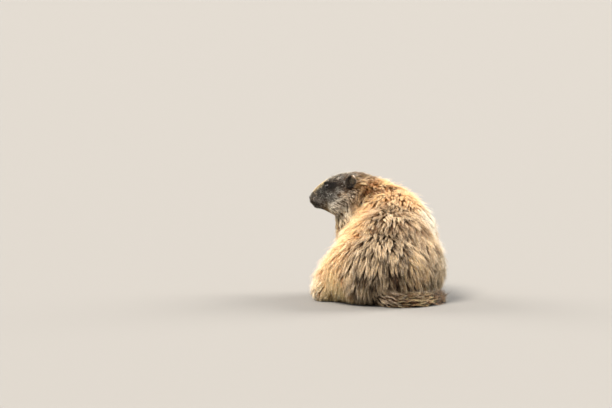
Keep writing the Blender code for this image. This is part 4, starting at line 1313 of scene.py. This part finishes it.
def guard_hair():
    """Keratin guard hair, dry and coarse: bands of lighter and darker pigment give it its grizzle."""
    made, tree = blank_material("guard_hair")
    colour = node(tree, "ShaderNodeVertexColor", layer_name="hair_colour").outputs["Color"]
    place = node(tree, "ShaderNodeTexCoord").outputs["Object"]
    bands = node(tree, "ShaderNodeTexNoise", {"Vector": place, "Scale": 320.0, "Detail": 1.0})
    ramp = node(tree, "ShaderNodeValToRGB", {"Fac": bands.outputs["Fac"]})
    set_stops(ramp, BAND_STOPS)
    # Input 0 of the mix is its share, 6 and 7 are its colours, and output 2 is the mixed one
    mixed = node(
        tree,
        "ShaderNodeMix",
        {0: 1.0, 6: colour, 7: ramp.outputs["Color"]},
        data_type="RGBA",
        blend_type="MULTIPLY",
    )
    surfaced(
        tree,
        mixed.outputs[2],
        roughness=0.62,
        Specular_IOR_Level=0.12,
        IOR=1.55,
        Subsurface_Weight=0.5,
        Subsurface_Scale=0.0012,
        Subsurface_Radius=HAIR_GLOW,
    )
    return made


def underfur():
    """Hide under dense woolly underfur, which shows as dark hollows between the tufts."""
    made, tree = blank_material("underfur")
    colour = node(tree, "ShaderNodeVertexColor", layer_name="hair_colour").outputs["Color"]
    place = node(tree, "ShaderNodeTexCoord").outputs["Object"]
    wool = node(tree, "ShaderNodeTexNoise", {"Vector": place, "Scale": 900.0, "Detail": 3.0})
    height = node(tree, "ShaderNodeBump", {"Height": wool.outputs["Fac"], "Distance": 0.0006})
    surfaced(tree, colour, roughness=0.85, bump=height.outputs["Normal"], Specular_IOR_Level=0.15)
    return made


def bare_skin():
    """Moist, finely pebbled bare skin, as on the nose pad, the lips and the rims of the lids."""
    made, tree = blank_material("bare_skin")
    place = node(tree, "ShaderNodeTexCoord").outputs["Object"]
    cells = node(tree, "ShaderNodeTexVoronoi", {"Vector": place, "Scale": 1800.0})
    ramp = node(tree, "ShaderNodeValToRGB", {"Fac": cells.outputs["Distance"]})
    set_stops(ramp, from_to(BARE_SKIN_COLOURS))
    height = node(tree, "ShaderNodeBump", {"Height": cells.outputs["Distance"], "Distance": 0.0002})
    height.invert = True
    look = ramp.outputs["Color"]
    surfaced(tree, look, roughness=0.52, bump=height.outputs["Normal"], Specular_IOR_Level=0.20)
    return made


def wet_eye():
    """A dark brown eye under a wet cornea: nearly black, with a clear catchlight."""
    made, tree = blank_material("wet_eye")
    facing = node(tree, "ShaderNodeAttribute", attribute_name="towards_pupil").outputs["Fac"]
    ramp = node(tree, "ShaderNodeValToRGB", {"Fac": facing})
    set_stops(ramp, [(place, linear(code)) for place, code in EYE_STOPS])
    surfaced(tree, ramp.outputs["Color"], roughness=0.06, IOR=1.38)
    return made


def claw_horn():
    """Dark horn, worn paler at the end of each claw, with fine lengthwise streaks."""
    made, tree = blank_material("claw_horn")
    share = node(tree, "ShaderNodeAttribute", attribute_name="along").outputs["Fac"]
    place = node(tree, "ShaderNodeTexCoord").outputs["Object"]
    streaks = node(tree, "ShaderNodeTexNoise", {"Vector": place, "Scale": 1400.0, "Detail": 2.0})
    mixed = node(tree, "ShaderNodeMath", {0: share, 1: streaks.outputs["Fac"]}, operation="MULTIPLY")
    ramp = node(tree, "ShaderNodeValToRGB", {"Fac": mixed.outputs[0]})
    set_stops(ramp, from_to(HORN_COLOURS))
    height = node(tree, "ShaderNodeBump", {"Height": streaks.outputs["Fac"], "Distance": 0.0001})
    surfaced(tree, ramp.outputs["Color"], roughness=0.34, bump=height.outputs["Normal"], IOR=1.54)
    return made


def whisker_keratin():
    """Stiff dark whiskers with a slight gloss, paler towards their ends."""
    made, tree = blank_material("whisker_keratin")
    share = node(tree, "ShaderNodeAttribute", attribute_name="along").outputs["Fac"]
    ramp = node(tree, "ShaderNodeValToRGB", {"Fac": share})
    set_stops(ramp, from_to(WHISKER_COLOURS))
    surfaced(tree, ramp.outputs["Color"], roughness=0.35, IOR=1.55)
    return made


def sweep_tree():
    """Geometry nodes that sweep a tapering round along every path of a mesh of edges."""
    name = "tapered_sweep"
    if name in bpy.data.node_groups:
        return bpy.data.node_groups[name]
    tree = bpy.data.node_groups.new(name, "GeometryNodeTree")
    face = tree.interface
    face.new_socket("Paths", in_out="INPUT", socket_type="NodeSocketGeometry")
    for label in ("Root Radius", "Taper"):
        face.new_socket(label, in_out="INPUT", socket_type="NodeSocketFloat")
    face.new_socket("Sides", in_out="INPUT", socket_type="NodeSocketInt")
    face.new_socket("Material", in_out="INPUT", socket_type="NodeSocketMaterial")
    face.new_socket("Mesh", in_out="OUTPUT", socket_type="NodeSocketGeometry")
    given = node(tree, "NodeGroupInput").outputs
    curve = node(tree, "GeometryNodeMeshToCurve", {"Mesh": given["Paths"]})
    share = node(tree, "GeometryNodeSplineParameter").outputs["Factor"]
    bent = node(tree, "ShaderNodeMath", {0: share, 1: given["Taper"]}, operation="POWER")
    left = node(tree, "ShaderNodeMath", {0: 1 + BLUNT_SHARE, 1: bent.outputs[0]}, operation="SUBTRACT")
    thick = node(
        tree,
        "ShaderNodeMath",
        {0: left.outputs[0], 1: given["Root Radius"]},
        operation="MULTIPLY",
    )
    marked = node(
        tree,
        "GeometryNodeStoreNamedAttribute",
        {"Geometry": curve.outputs[0], "Name": "along", "Value": share},
        data_type="FLOAT",
        domain="POINT",
    )
    ring = node(tree, "GeometryNodeCurvePrimitiveCircle", {"Resolution": given["Sides"], "Radius": 1.0})
    tube = node(
        tree,
        "GeometryNodeCurveToMesh",
        {
            "Curve": marked.outputs[0],
            "Profile Curve": ring.outputs[0],
            "Scale": thick.outputs[0],
            "Fill Caps": True,
        },
    )
    real = node(tree, "GeometryNodeRealizeInstances", {"Geometry": tube.outputs[0]})
    dressed = node(
        tree,
        "GeometryNodeSetMaterial",
        {"Geometry": real.outputs[0], "Material": given["Material"]},
    )
    node(tree, "NodeGroupOutput", {"Mesh": dressed.outputs[0]})
    return tree


def swept(name, paths, root_radius, taper, sides, material):
    """Sweeps a tapering round along each list of points, as one plain mesh."""
    mesh = bpy.data.meshes.new(name)
    points, edges = [], []
    for path in paths:
        start = len(points)
        points += [tuple(p) for p in path]
        edges += [(start + i, start + i + 1) for i in range(len(path) - 1)]
    mesh.from_pydata(points, edges, [])
    obj = object_of(mesh, name)
    step = obj.modifiers.new("sweep", "NODES")
    step.node_group = sweep_tree()
    values = {"Root Radius": root_radius, "Taper": taper, "Sides": sides, "Material": material}
    for item in step.node_group.interface.items_tree:
        if item.in_out == "INPUT" and item.name in values:
            step[item.identifier] = values[item.name]
    return applied(obj)


def needed(name):
    """The object that an operator builds on."""
    found = bpy.data.objects.get(name)
    if not found:
        raise RuntimeError(f"{name} isn't there yet: run its operator first")
    return found


def skin_colours(obj, marks):
    """Gives a surface under the coat the coat's own markings, darker."""
    dark, light, share, _ = colours_of(marks(points_of(obj.data)))
    mix = (share * UNDERFUR_LIGHT).clip(0, 1)[:, None]
    shades = np.ones((len(dark), 4), np.float32)
    shades[:, :3] = (dark * (1 - mix) + light * mix) * UNDERFUR_SHADE
    layer = obj.data.color_attributes.new("hair_colour", "FLOAT_COLOR", "POINT")
    layer.data.foreach_set("color", shades.ravel())


class MarmotCoatSettings(bpy.types.PropertyGroup):
    """Sizes of the coat that a user would change."""

    length_share: FloatProperty(
        name="Length",
        description="Length of all hair, as a share of its own",
        default=1.0,
        min=0.3,
        max=2.0,
        subtype="FACTOR",
    )
    height_share: FloatProperty(
        name="Height",
        description="How far all hair stands off the skin, as a share of its own height",
        default=1.0,
        min=0.2,
        max=2.0,
        subtype="FACTOR",
    )
    lock_spacings: FloatProperty(
        name="Lock spacing",
        description="Space between the locks that tufts gather to, in spaces between tufts",
        default=LOCK_SPACINGS,
        min=1.0,
        max=10.0,
    )
    lock_pull: FloatProperty(
        name="Lock pull",
        description="How strongly tufts gather to locks",
        default=0.50,
        min=0.0,
        max=1.0,
        subtype="FACTOR",
    )
    seed: IntProperty(name="Seed", description="Seed of every random draw", default=COAT_SEED, min=0)


class MarmotFaceSettings(bpy.types.PropertyGroup):
    """Sizes of eyes, whiskers and claws that a user would change."""

    eye_radius: FloatProperty(
        name="Eye radius",
        description="Radius of each eyeball",
        default=0.0065,
        min=0.003,
        max=0.010,
        unit="LENGTH",
    )
    whisker_radius: FloatProperty(
        name="Whisker radius",
        description="Radius of a whisker at its root",
        default=0.00022,
        min=0.00005,
        max=0.001,
        unit="LENGTH",
    )
    claw_radius: FloatProperty(
        name="Claw radius",
        description="Radius of a claw at its root",
        default=0.00184,
        min=0.001,
        max=0.004,
        unit="LENGTH",
    )


class MarmotStageSettings(bpy.types.PropertyGroup):
    """The floor, the light and the camera."""

    azimuth: FloatProperty(
        name="Azimuth",
        description="Camera's way round the animal, in degrees",
        default=184.0,
    )
    elevation: FloatProperty(
        name="Elevation",
        description="Camera's height above the horizon, in degrees",
        default=6.0,
    )
    focal_length: FloatProperty(
        name="Focal length",
        description="Long lens, as for wildlife",
        default=380.0,
        min=20.0,
        unit="CAMERA",
    )
    floor_colour: StringProperty(
        name="Floor colour",
        description="Pale plain floor, as a hex code such as #636260",
        default="#636260",
    )
    key_strength: FloatProperty(
        name="Key light",
        description="Strength of the main soft light",
        default=8.0,
        min=0.0,
    )


def open_slit(skin, side):
    """Draws the skin in behind the eyeball where the slit is, with a finer mesh round it."""
    centre = eye_frame(side).translation
    room = SOCKET_RADIUS * SLIT_ROOM
    bm = bmesh.new()
    bm.from_mesh(skin.data)
    near = [e for e in bm.edges if all((v.co - centre).length < room for v in e.verts)]
    bmesh.ops.subdivide_edges(bm, edges=near, cuts=SLIT_CUTS, use_grid_fill=True, smooth=SLIT_ROUNDING)
    close = [v for v in bm.verts if (v.co - centre).length < room]
    share, distance = slit_share(np.array([v.co[:] for v in close]), side)
    drawn = smooth_step(*SLIT_FADE, share)
    inner = SOCKET_RADIUS - SLIT_DEPTH
    radius = distance * (1 - drawn) + np.minimum(distance, inner) * drawn
    for vertex, new, old in zip(close, radius, distance):
        vertex.co = centre + (vertex.co - centre) * (new / old)
    bm.to_mesh(skin.data)
    bm.free()


class MARMOT_OT_skin(bpy.types.Operator):
    """Build one skin over body, head, legs, feet and tail"""

    bl_idname = "marmot.skin"
    bl_label = "Skin"

    def execute(self, context):
        forms = [body_form(), head_form(), tail_form(), *(foot_form(name) for name in FEET)]
        skin = melted(joined("marmot_skin", *forms), SKIN_GRID, SKIN_SMOOTHING)
        skin.modifiers.new("fewer_faces", "DECIMATE").ratio = SKIN_KEPT_FACES
        skin = applied(skin)
        kept_off_floor(skin.data)
        for side in (1, -1):
            open_slit(skin, side)
        unwrap(skin)
        skin_colours(skin, marks_on)
        fleshy = [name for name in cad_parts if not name.startswith(("eye", "ear", "nose"))]
        finished(skin, "coat", underfur(), *fleshy)
        return {"FINISHED"}


def eyeball(name, side, radius):
    """A ball with a slightly bulging cornea, and how far each point faces the pupil's way."""
    bm = bmesh.new()
    turn = Matrix.Rotation(math.radians(-90), 4, "X")
    bmesh.ops.create_uvsphere(bm, u_segments=48, v_segments=32, radius=radius, matrix=turn)
    values = []
    edge = math.cos(math.radians(CORNEA_ANGLE))
    for vertex in bm.verts:
        facing = vertex.co.normalized().y
        values.append(max(0.0, facing))
        if facing > edge:
            rise = (facing - edge) / (1 - edge)
            vertex.co *= 1 + CORNEA_RISE / radius * math.sin(rise * math.pi / 2)
    bm.transform(eye_frame(side))
    obj = object_from_bmesh(bm, name)
    layer = obj.data.attributes.new("towards_pupil", "FLOAT", "POINT")
    layer.data.foreach_set("value", values)
    return obj


def eye_rim(name, side):
    """The bare rim of both lids, one closed band round the slit whose outer edge sinks into the skin."""
    bm = bmesh.new()
    reach = math.radians(RIM_WIDTH)
    around = np.arange(RIM_STEPS) * 2 * math.pi / RIM_STEPS
    edges = slit_edge(around)
    shares = np.linspace(0, 1, RIM_RINGS)
    outer = np.interp(shares, (0, RIM_CREST, 1), (RIM_INNER + RIM_EDGE, RIM_OUTER, RIM_SUNK))
    profile = list(zip(shares, outer)) + [(share, RIM_INNER) for share in shares[::-1]]
    rows = []
    for share, radius in profile:
        polar = edges + reach * share
        wide = np.sin(polar)
        spots = np.stack([wide * np.cos(around), np.cos(polar), wide * np.sin(around)], 1)
        rows.append([bm.verts.new(spot) for spot in spots * radius])
    for near, far in zip(rows, rows[1:] + rows[:1]):
        for i in range(RIM_STEPS):
            j = (i + 1) % RIM_STEPS
            bm.faces.new((near[i], near[j], far[j], far[i]))
    bmesh.ops.recalc_face_normals(bm, faces=bm.faces[:])
    bm.transform(eye_frame(side))
    return object_from_bmesh(bm, name)


class MARMOT_OT_eyes(bpy.types.Operator):
    """Build both eyes with the rims of their lids"""

    bl_idname = "marmot.eyes"
    bl_label = "Eyes and rims"

    def execute(self, context):
        face = context.scene.marmot_face
        wet, rim = wet_eye(), bare_skin()
        for label, side in (("left", 1), ("right", -1)):
            ball = eyeball("eyeball_" + label, side, face.eye_radius)
            finished(ball, "eye", wet, "eye_" + label)
            finished(eye_rim("eye_rim_" + label, side), "nose_pad", rim)
        return {"FINISHED"}


def ear_frame(side):
    """An ear's middle, turned with it: Z points at the rim and Y to the animal's left."""
    place = head_frame() @ Matrix.Translation(mirrored(EAR_PLACE, side))
    for angle, axis in zip(EAR_TILT, "XYZ"):
        mirror = -side if axis in "XZ" else 1
        place = place @ Matrix.Rotation(math.radians(angle * mirror), 4, axis)
    return place


def ear_cup(name, side):
    """A short rounded ear, hollowed from outside and in front, with a soft rim."""
    place = ear_frame(side)
    within = place @ Matrix.Translation(mirrored(EAR_HOLLOW_SHIFT, side))
    forms = []
    for label, there, radii in (("ear_outer", place, EAR_RADII), ("ear_hollow", within, EAR_HOLLOW)):
        bm = bmesh.new()
        add_ellipsoid(bm, there, radii)
        forms.append(object_from_bmesh(bm, label))
    cup, hollow = forms
    cut = cup.modifiers.new("hollow", "BOOLEAN")
    cut.operation = "DIFFERENCE"
    cut.object = hollow
    applied(cup)
    bpy.data.objects.remove(hollow)
    cup = melted(cup, EAR_GRID, EAR_SMOOTHING)
    cup.name = name
    return cup


class MARMOT_OT_ears(bpy.types.Operator):
    """Build both ears"""

    bl_idname = "marmot.ears"
    bl_label = "Ears"

    def execute(self, context):
        skin = underfur()
        for label, side in (("left", 1), ("right", -1)):
            cup = ear_cup("ear_cup_" + label, side)
            unwrap(cup)
            skin_colours(cup, marks_on_ear(side))
            finished(cup, "ear_skin", skin, "ear_" + label)
        return {"FINISHED"}


def nose_pad():
    """The bare pad with its comma-shaped nostrils and the groove below them."""
    bm = bmesh.new()
    bmesh.ops.create_icosphere(bm, subdivisions=5, radius=1.0)
    for vertex in bm.verts:
        point = Vector(a * b for a, b in zip(vertex.co, NOSE_RADII))
        point.y *= 1 + NOSE_TAPER * vertex.co.z
        for side in (1, -1):
            hole = point - mirrored(NOSTRIL_PLACE, side)
            hole.z += NOSTRIL_SLANT * abs(hole.y)
            away = sum((a / b) ** 2 for a, b in zip(hole, NOSTRIL_RADII))
            if point.x > 0:
                point.x -= NOSTRIL_DEPTH * math.exp(-NOSTRIL_SHARPNESS * away)
        groove = math.exp(-((point.y / PHILTRUM_WIDTH) ** 2)) * max(0.0, -vertex.co.z)
        point.x -= PHILTRUM_DEPTH * groove
        vertex.co = point
    bm.transform(head_frame() @ Matrix.Translation(NOSE_PLACE))
    return object_from_bmesh(bm, "nose_leather")


def smooth_path(points, count):
    """Points evenly along a smooth curve through some others."""
    points = [Vector(p) for p in points]
    padded = [points[0] * 2 - points[1], *points, points[-1] * 2 - points[-2]]
    path = []
    for i in range(count):
        spot = i / (count - 1) * (len(points) - 1)
        leg = min(int(spot), len(points) - 2)
        t = spot - leg
        a, b, c, d = padded[leg : leg + 4]
        bend = 2 * b + (c - a) * t + (2 * a - 5 * b + 4 * c - d) * t * t
        path.append(0.5 * (bend + (3 * b - a - 3 * c + d) * t**3))
    return path


class MARMOT_OT_nose(bpy.types.Operator):
    """Build the nose pad and the line of the lips"""

    bl_idname = "marmot.nose"
    bl_label = "Nose and lips"

    def execute(self, context):
        material = bare_skin()
        finished(nose_pad(), "nose_pad", material, "nose")
        surface = BVHTree.FromObject(needed("marmot_skin"), context.evaluated_depsgraph_get())
        paths = []
        for side in (1, -1):
            path = smooth_path([head_frame() @ mirrored(p, side) for p in MOUTH_POINTS], MOUTH_STATIONS)
            found = [surface.find_nearest(p + SHIFT) for p in path]
            paths.append([point - SHIFT - normal * LIP_RADIUS * LIP_SINK for point, normal, *_ in found])
        lips = swept("lips", paths, LIP_RADIUS, taper=LIP_TAPER, sides=10, material=material)
        finished(lips, "nose_pad", material)
        return {"FINISHED"}


class MARMOT_OT_whiskers(bpy.types.Operator):
    """Set the whiskers of muzzle and brows"""

    bl_idname = "marmot.whiskers"
    bl_label = "Whiskers"

    def execute(self, context):
        rng = np.random.default_rng(context.scene.marmot_coat.seed)
        roots = []
        for start, end in WHISKER_ROWS:
            for i in range(WHISKERS_PER_ROW):
                share = i / (WHISKERS_PER_ROW - 1)
                roots.append((Vector(start).lerp(Vector(end), share), share, 0.0))
        roots += [(Vector(p), BROW_LENGTH_SHARE, 1.0) for p in BROW_WHISKERS]
        stations = [i / (WHISKER_STATIONS - 1) for i in range(WHISKER_STATIONS)]
        shortest, longest = WHISKER_LENGTHS
        back, out, up = WHISKER_WAY
        sag_back, sag_down = WHISKER_SAG
        paths = []
        for side in (1, -1):
            for root, share, brow in roots:
                length = shortest + (longest - shortest) * share
                length *= rng.uniform(*WHISKER_LENGTH_SPREAD)
                scatter = rng.uniform(-WHISKER_SCATTER, WHISKER_SCATTER)
                way = Vector((back - WHISKER_TURN_BACK * share, out, up + BROW_RISE * brow + scatter))
                way = way.normalized() * length
                sag = Vector((sag_back, 0.0, sag_down + BROW_SAG_LESS * brow)) * length
                path = [root + way * (t - WHISKER_SUNK_SHARE) + sag * t * t for t in stations]
                paths.append([head_frame() @ mirrored(p, side) for p in path])
        material = whisker_keratin()
        radius = context.scene.marmot_face.whisker_radius
        whiskers = swept("whiskers", paths, radius, taper=WHISKER_TAPER, sides=6, material=material)
        finished(whiskers, "claw", material)
        return {"FINISHED"}


class MARMOT_OT_claws(bpy.types.Operator):
    """Set a curved claw on each toe"""

    bl_idname = "marmot.claws"
    bl_label = "Claws"

    def execute(self, context):
        material = claw_horn()
        radius = context.scene.marmot_face.claw_radius
        up = Vector((0, 0, 1))
        stations = [i / (CLAW_STATIONS - 1) for i in range(CLAW_STATIONS)]
        for name, foot in FEET.items():
            place = foot_frame(name)
            length = foot.claw - CLAW_SINK
            paths = []
            for tip in toe_tips(name):
                out = Vector((tip.x, tip.y * CLAW_SPREAD, 0)).normalized()
                root = tip + out * CLAW_SINK + up * CLAW_RISE
                path = [root + out * length * t - up * CLAW_DROP * t * t for t in stations]
                paths.append([place @ p for p in path])
            claws = swept("claws_" + name, paths, radius, taper=CLAW_TAPER, sides=12, material=material)
            kept_off_floor(claws.data)
            finished(claws, "claw", material)
        return {"FINISHED"}


def bears_coat(points, normals):
    """Everywhere but in the eyes, on the nose pad, along the lips and on the soles."""
    places = in_frame(head_frame(), points)
    eyes = np.ones(len(points), bool)
    for side in (1, -1):
        share, distance = slit_share(points, side)
        eyes &= (share > BARE_SLIT) | (distance > BARE_SLIT_ROOM * SOCKET_RADIUS)
    pad = (places - np.array(NOSE_PLACE)) / (np.array(NOSE_RADII) + BARE_NOSE_ROOM)
    sides = places.copy()
    sides[:, 1] = np.abs(sides[:, 1])
    lips = along_path(sides, MOUTH_POINTS)[0]
    under = (points[:, 2] < SOLE_HEIGHT) & (normals[:, 2] < SOLE_FACING)
    return eyes & (np.linalg.norm(pad, axis=1) > 1) & (lips > BARE_LIP_ROOM) & ~under


def chosen_shares(settings):
    """Factors of the coat's sizes that a user has set, a column for each size."""
    shares = np.ones(len(COAT_SIZES["body"]))
    shares[LENGTH] = settings.length_share
    shares[HEIGHT] = settings.height_share
    return shares


def lay_coat(skin, settings, rng):
    """All tufts of body, head, legs and tail: yields the name of each zone with its hairs."""
    surface = Surface(skin)
    shares = chosen_shares(settings)

    def spacing_at(points):
        return coat_at(points)[:, SPACING]

    def lock_spacing_at(points):
        return spacing_at(points) * settings.lock_spacings

    roots, normals, _ = surface.roots(bears_coat, lock_spacing_at, rng)
    sizes = coat_at(roots) * shares
    heights = sizes[:, HEIGHT] * rng.uniform(*LOCK_HEIGHTS, len(roots))
    swings = rng.normal(0, LOCK_SWING, len(roots))
    lines, _, _ = guide_lines(surface, roots, normals, sizes[:, LENGTH], heights, swings, lie_of)
    locks = (lines, roots, rng.normal(0, LOCK_SHADE, len(roots)), settings.lock_pull)

    roots, normals, places = surface.roots(bears_coat, spacing_at, rng)
    zones = zone_of(roots)
    for zone in sorted(set(zones)):
        chosen = zones == zone
        at_roots = (roots[chosen], normals[chosen], places[chosen])
        sizes = coat_at(roots[chosen]) * shares
        yield zone, tufts_of(surface, *at_roots, lie_of, marks_on, sizes, rng, locks)


def ear_hair_share(points, side):
    """Full length at the rim of the ear and on its back, short in its hollow."""
    places = in_frame(ear_frame(side), points)
    from_middle = np.hypot(places[:, 0] / EAR_RADII[0], places[:, 2] / EAR_RADII[2])
    inside = smooth_step(*EAR_RIM_BLEND, from_middle) * smooth_step(*EAR_HOLLOW_BLEND, places[:, 1] * side)
    return 1 - (1 - EAR_HOLLOW_HAIR) * inside


def ear_lie(side):
    """Hair on an ear lies from its root to its rim."""
    up = np.array(ear_frame(side).to_3x3() @ Vector(EAR_LIE))

    def lie(points, normals):
        flow = up - normals * (normals @ up)[:, None]
        return unit(flow)

    return lie


def ear_coat(cup, side, settings, rng):
    """The hairs of one ear."""
    surface = Surface(cup)
    size = np.array(COAT_SIZES["ear"], float)

    def everywhere(points, normals):
        return np.ones(len(points), bool)

    def spacing_at(points):
        return np.full(len(points), size[SPACING])

    roots, normals, places = surface.roots(everywhere, spacing_at, rng)
    sizes = np.repeat(size[None], len(roots), axis=0) * chosen_shares(settings)
    sizes[:, [LENGTH, HEIGHT]] *= ear_hair_share(roots, side)[:, None]
    return tufts_of(surface, roots, normals, places, ear_lie(side), marks_on_ear(side), sizes, rng)


class MARMOT_OT_coat(bpy.types.Operator):
    """Set the coat on skin and ears, tuft by tuft"""

    bl_idname = "marmot.coat"
    bl_label = "Coat"

    def execute(self, context):
        settings = context.scene.marmot_coat
        rng = np.random.default_rng(settings.seed)
        hair = guard_hair()
        skin = needed("marmot_skin")
        skin.data.transform(Matrix.Translation(-SHIFT))
        for zone, arrays in lay_coat(skin, settings, rng):
            finished(hair_mesh("coat_" + zone, *arrays), ZONE_SLOTS.get(zone, "coat"), hair)
        skin.data.transform(Matrix.Translation(SHIFT))
        for label, side in (("left", 1), ("right", -1)):
            cup = needed("ear_cup_" + label)
            cup.data.transform(Matrix.Translation(-SHIFT))
            arrays = ear_coat(cup, side, settings, rng)
            finished(hair_mesh("coat_ear_" + label, *arrays), "ear_skin", hair)
            cup.data.transform(Matrix.Translation(SHIFT))
        return {"FINISHED"}


def soft_sun(name, place, softness, colour, strength):
    """A distant soft light that shines from a place towards the middle."""
    lamp = bpy.data.lights.new(name, "SUN")
    lamp.angle = math.radians(softness)
    lamp.energy = strength
    lamp.color = linear(colour)
    obj = object_of(lamp, name)
    obj.location = place
    obj.rotation_mode = "QUATERNION"
    obj.rotation_quaternion = (-Vector(place)).to_track_quat("-Z", "Y")


class MARMOT_OT_stage(bpy.types.Operator):
    """Set the pale floor, the soft light and the camera"""

    bl_idname = "marmot.stage"
    bl_label = "Stage"

    def execute(self, context):
        scene = context.scene
        stage = scene.marmot_stage
        bm = bmesh.new()
        bmesh.ops.create_grid(bm, x_segments=1, y_segments=1, size=FLOOR_SIZE)
        floor = object_from_bmesh(bm, "floor")
        made, tree = blank_material("pale_floor")
        surfaced(tree, linear(stage.floor_colour), FLOOR_ROUGHNESS)
        floor.data.materials.append(made)
        world = bpy.data.worlds.new("studio")
        world.use_nodes = True
        sky = world.node_tree.nodes["Background"]
        sky.inputs["Color"].default_value = (*linear(SKY_COLOUR), 1)
        sky.inputs["Strength"].default_value = SKY_STRENGTH
        scene.world = world
        scene.view_settings.view_transform = "Standard"
        soft_sun("key", *KEY_LIGHT, stage.key_strength)
        for name, light in RIM_LIGHTS.items():
            soft_sun(name, *light)
        self.set_camera(scene, stage)
        return {"FINISHED"}

    def set_camera(self, scene, stage):
        """The photo's view: the foot of the rump stands on its own pixel, at the photo's scale."""
        data = bpy.data.cameras.new("photo_view")
        data.lens = stage.focal_length
        data.sensor_width = SENSOR_WIDTH
        data.clip_end = FARTHEST_SEEN
        camera = object_of(data, "photo_view")
        azimuth = math.radians(stage.azimuth)
        elevation = math.radians(stage.elevation)
        level = math.cos(elevation)
        back = Vector((math.sin(azimuth) * level, -math.cos(azimuth) * level, math.sin(elevation)))
        turn = (-back).to_track_quat("-Z", "Y")
        right = turn @ Vector((1, 0, 0))
        up = turn @ Vector((0, 1, 0))
        across = (RUMP_FOOT_PIXEL[0] - PHOTO_SIZE[0] / 2) / PIXELS_PER_METRE
        above = -(RUMP_FOOT_PIXEL[1] - PHOTO_SIZE[1] / 2) / PIXELS_PER_METRE
        middle = Vector(RUMP_FOOT) + SHIFT - right * across - up * above
        distance = PHOTO_SIZE[0] / PIXELS_PER_METRE * data.lens / data.sensor_width
        camera.location = middle + back * distance
        camera.rotation_mode = "QUATERNION"
        camera.rotation_quaternion = turn
        scene.camera = camera


OPERATORS = (
    MARMOT_OT_skin,
    MARMOT_OT_eyes,
    MARMOT_OT_ears,
    MARMOT_OT_nose,
    MARMOT_OT_whiskers,
    MARMOT_OT_claws,
    MARMOT_OT_coat,
    MARMOT_OT_stage,
)


class MARMOT_PT_panel(bpy.types.Panel):
    """The pieces of the marmot, in the order in which they are built"""

    bl_idname = "MARMOT_PT_panel"
    bl_label = "Alpine marmot"
    bl_space_type = "VIEW_3D"
    bl_region_type = "UI"
    bl_category = "Marmot"

    def draw(self, context):
        for operator in OPERATORS:
            self.layout.operator(operator.bl_idname)


CLASSES = (MarmotCoatSettings, MarmotFaceSettings, MarmotStageSettings, *OPERATORS, MARMOT_PT_panel)


def register():
    for made in CLASSES:
        bpy.utils.register_class(made)
    bpy.types.Scene.marmot_coat = PointerProperty(type=MarmotCoatSettings)
    bpy.types.Scene.marmot_face = PointerProperty(type=MarmotFaceSettings)
    bpy.types.Scene.marmot_stage = PointerProperty(type=MarmotStageSettings)


def unregister():
    del bpy.types.Scene.marmot_stage
    del bpy.types.Scene.marmot_face
    del bpy.types.Scene.marmot_coat
    for made in reversed(CLASSES):
        bpy.utils.unregister_class(made)


def main():
    register()
    bpy.ops.marmot.skin()
    bpy.ops.marmot.eyes()
    bpy.ops.marmot.ears()
    bpy.ops.marmot.nose()
    bpy.ops.marmot.whiskers()
    bpy.ops.marmot.claws()
    bpy.ops.marmot.coat()
    bpy.ops.marmot.stage()


if __name__ == "__main__":
    main()
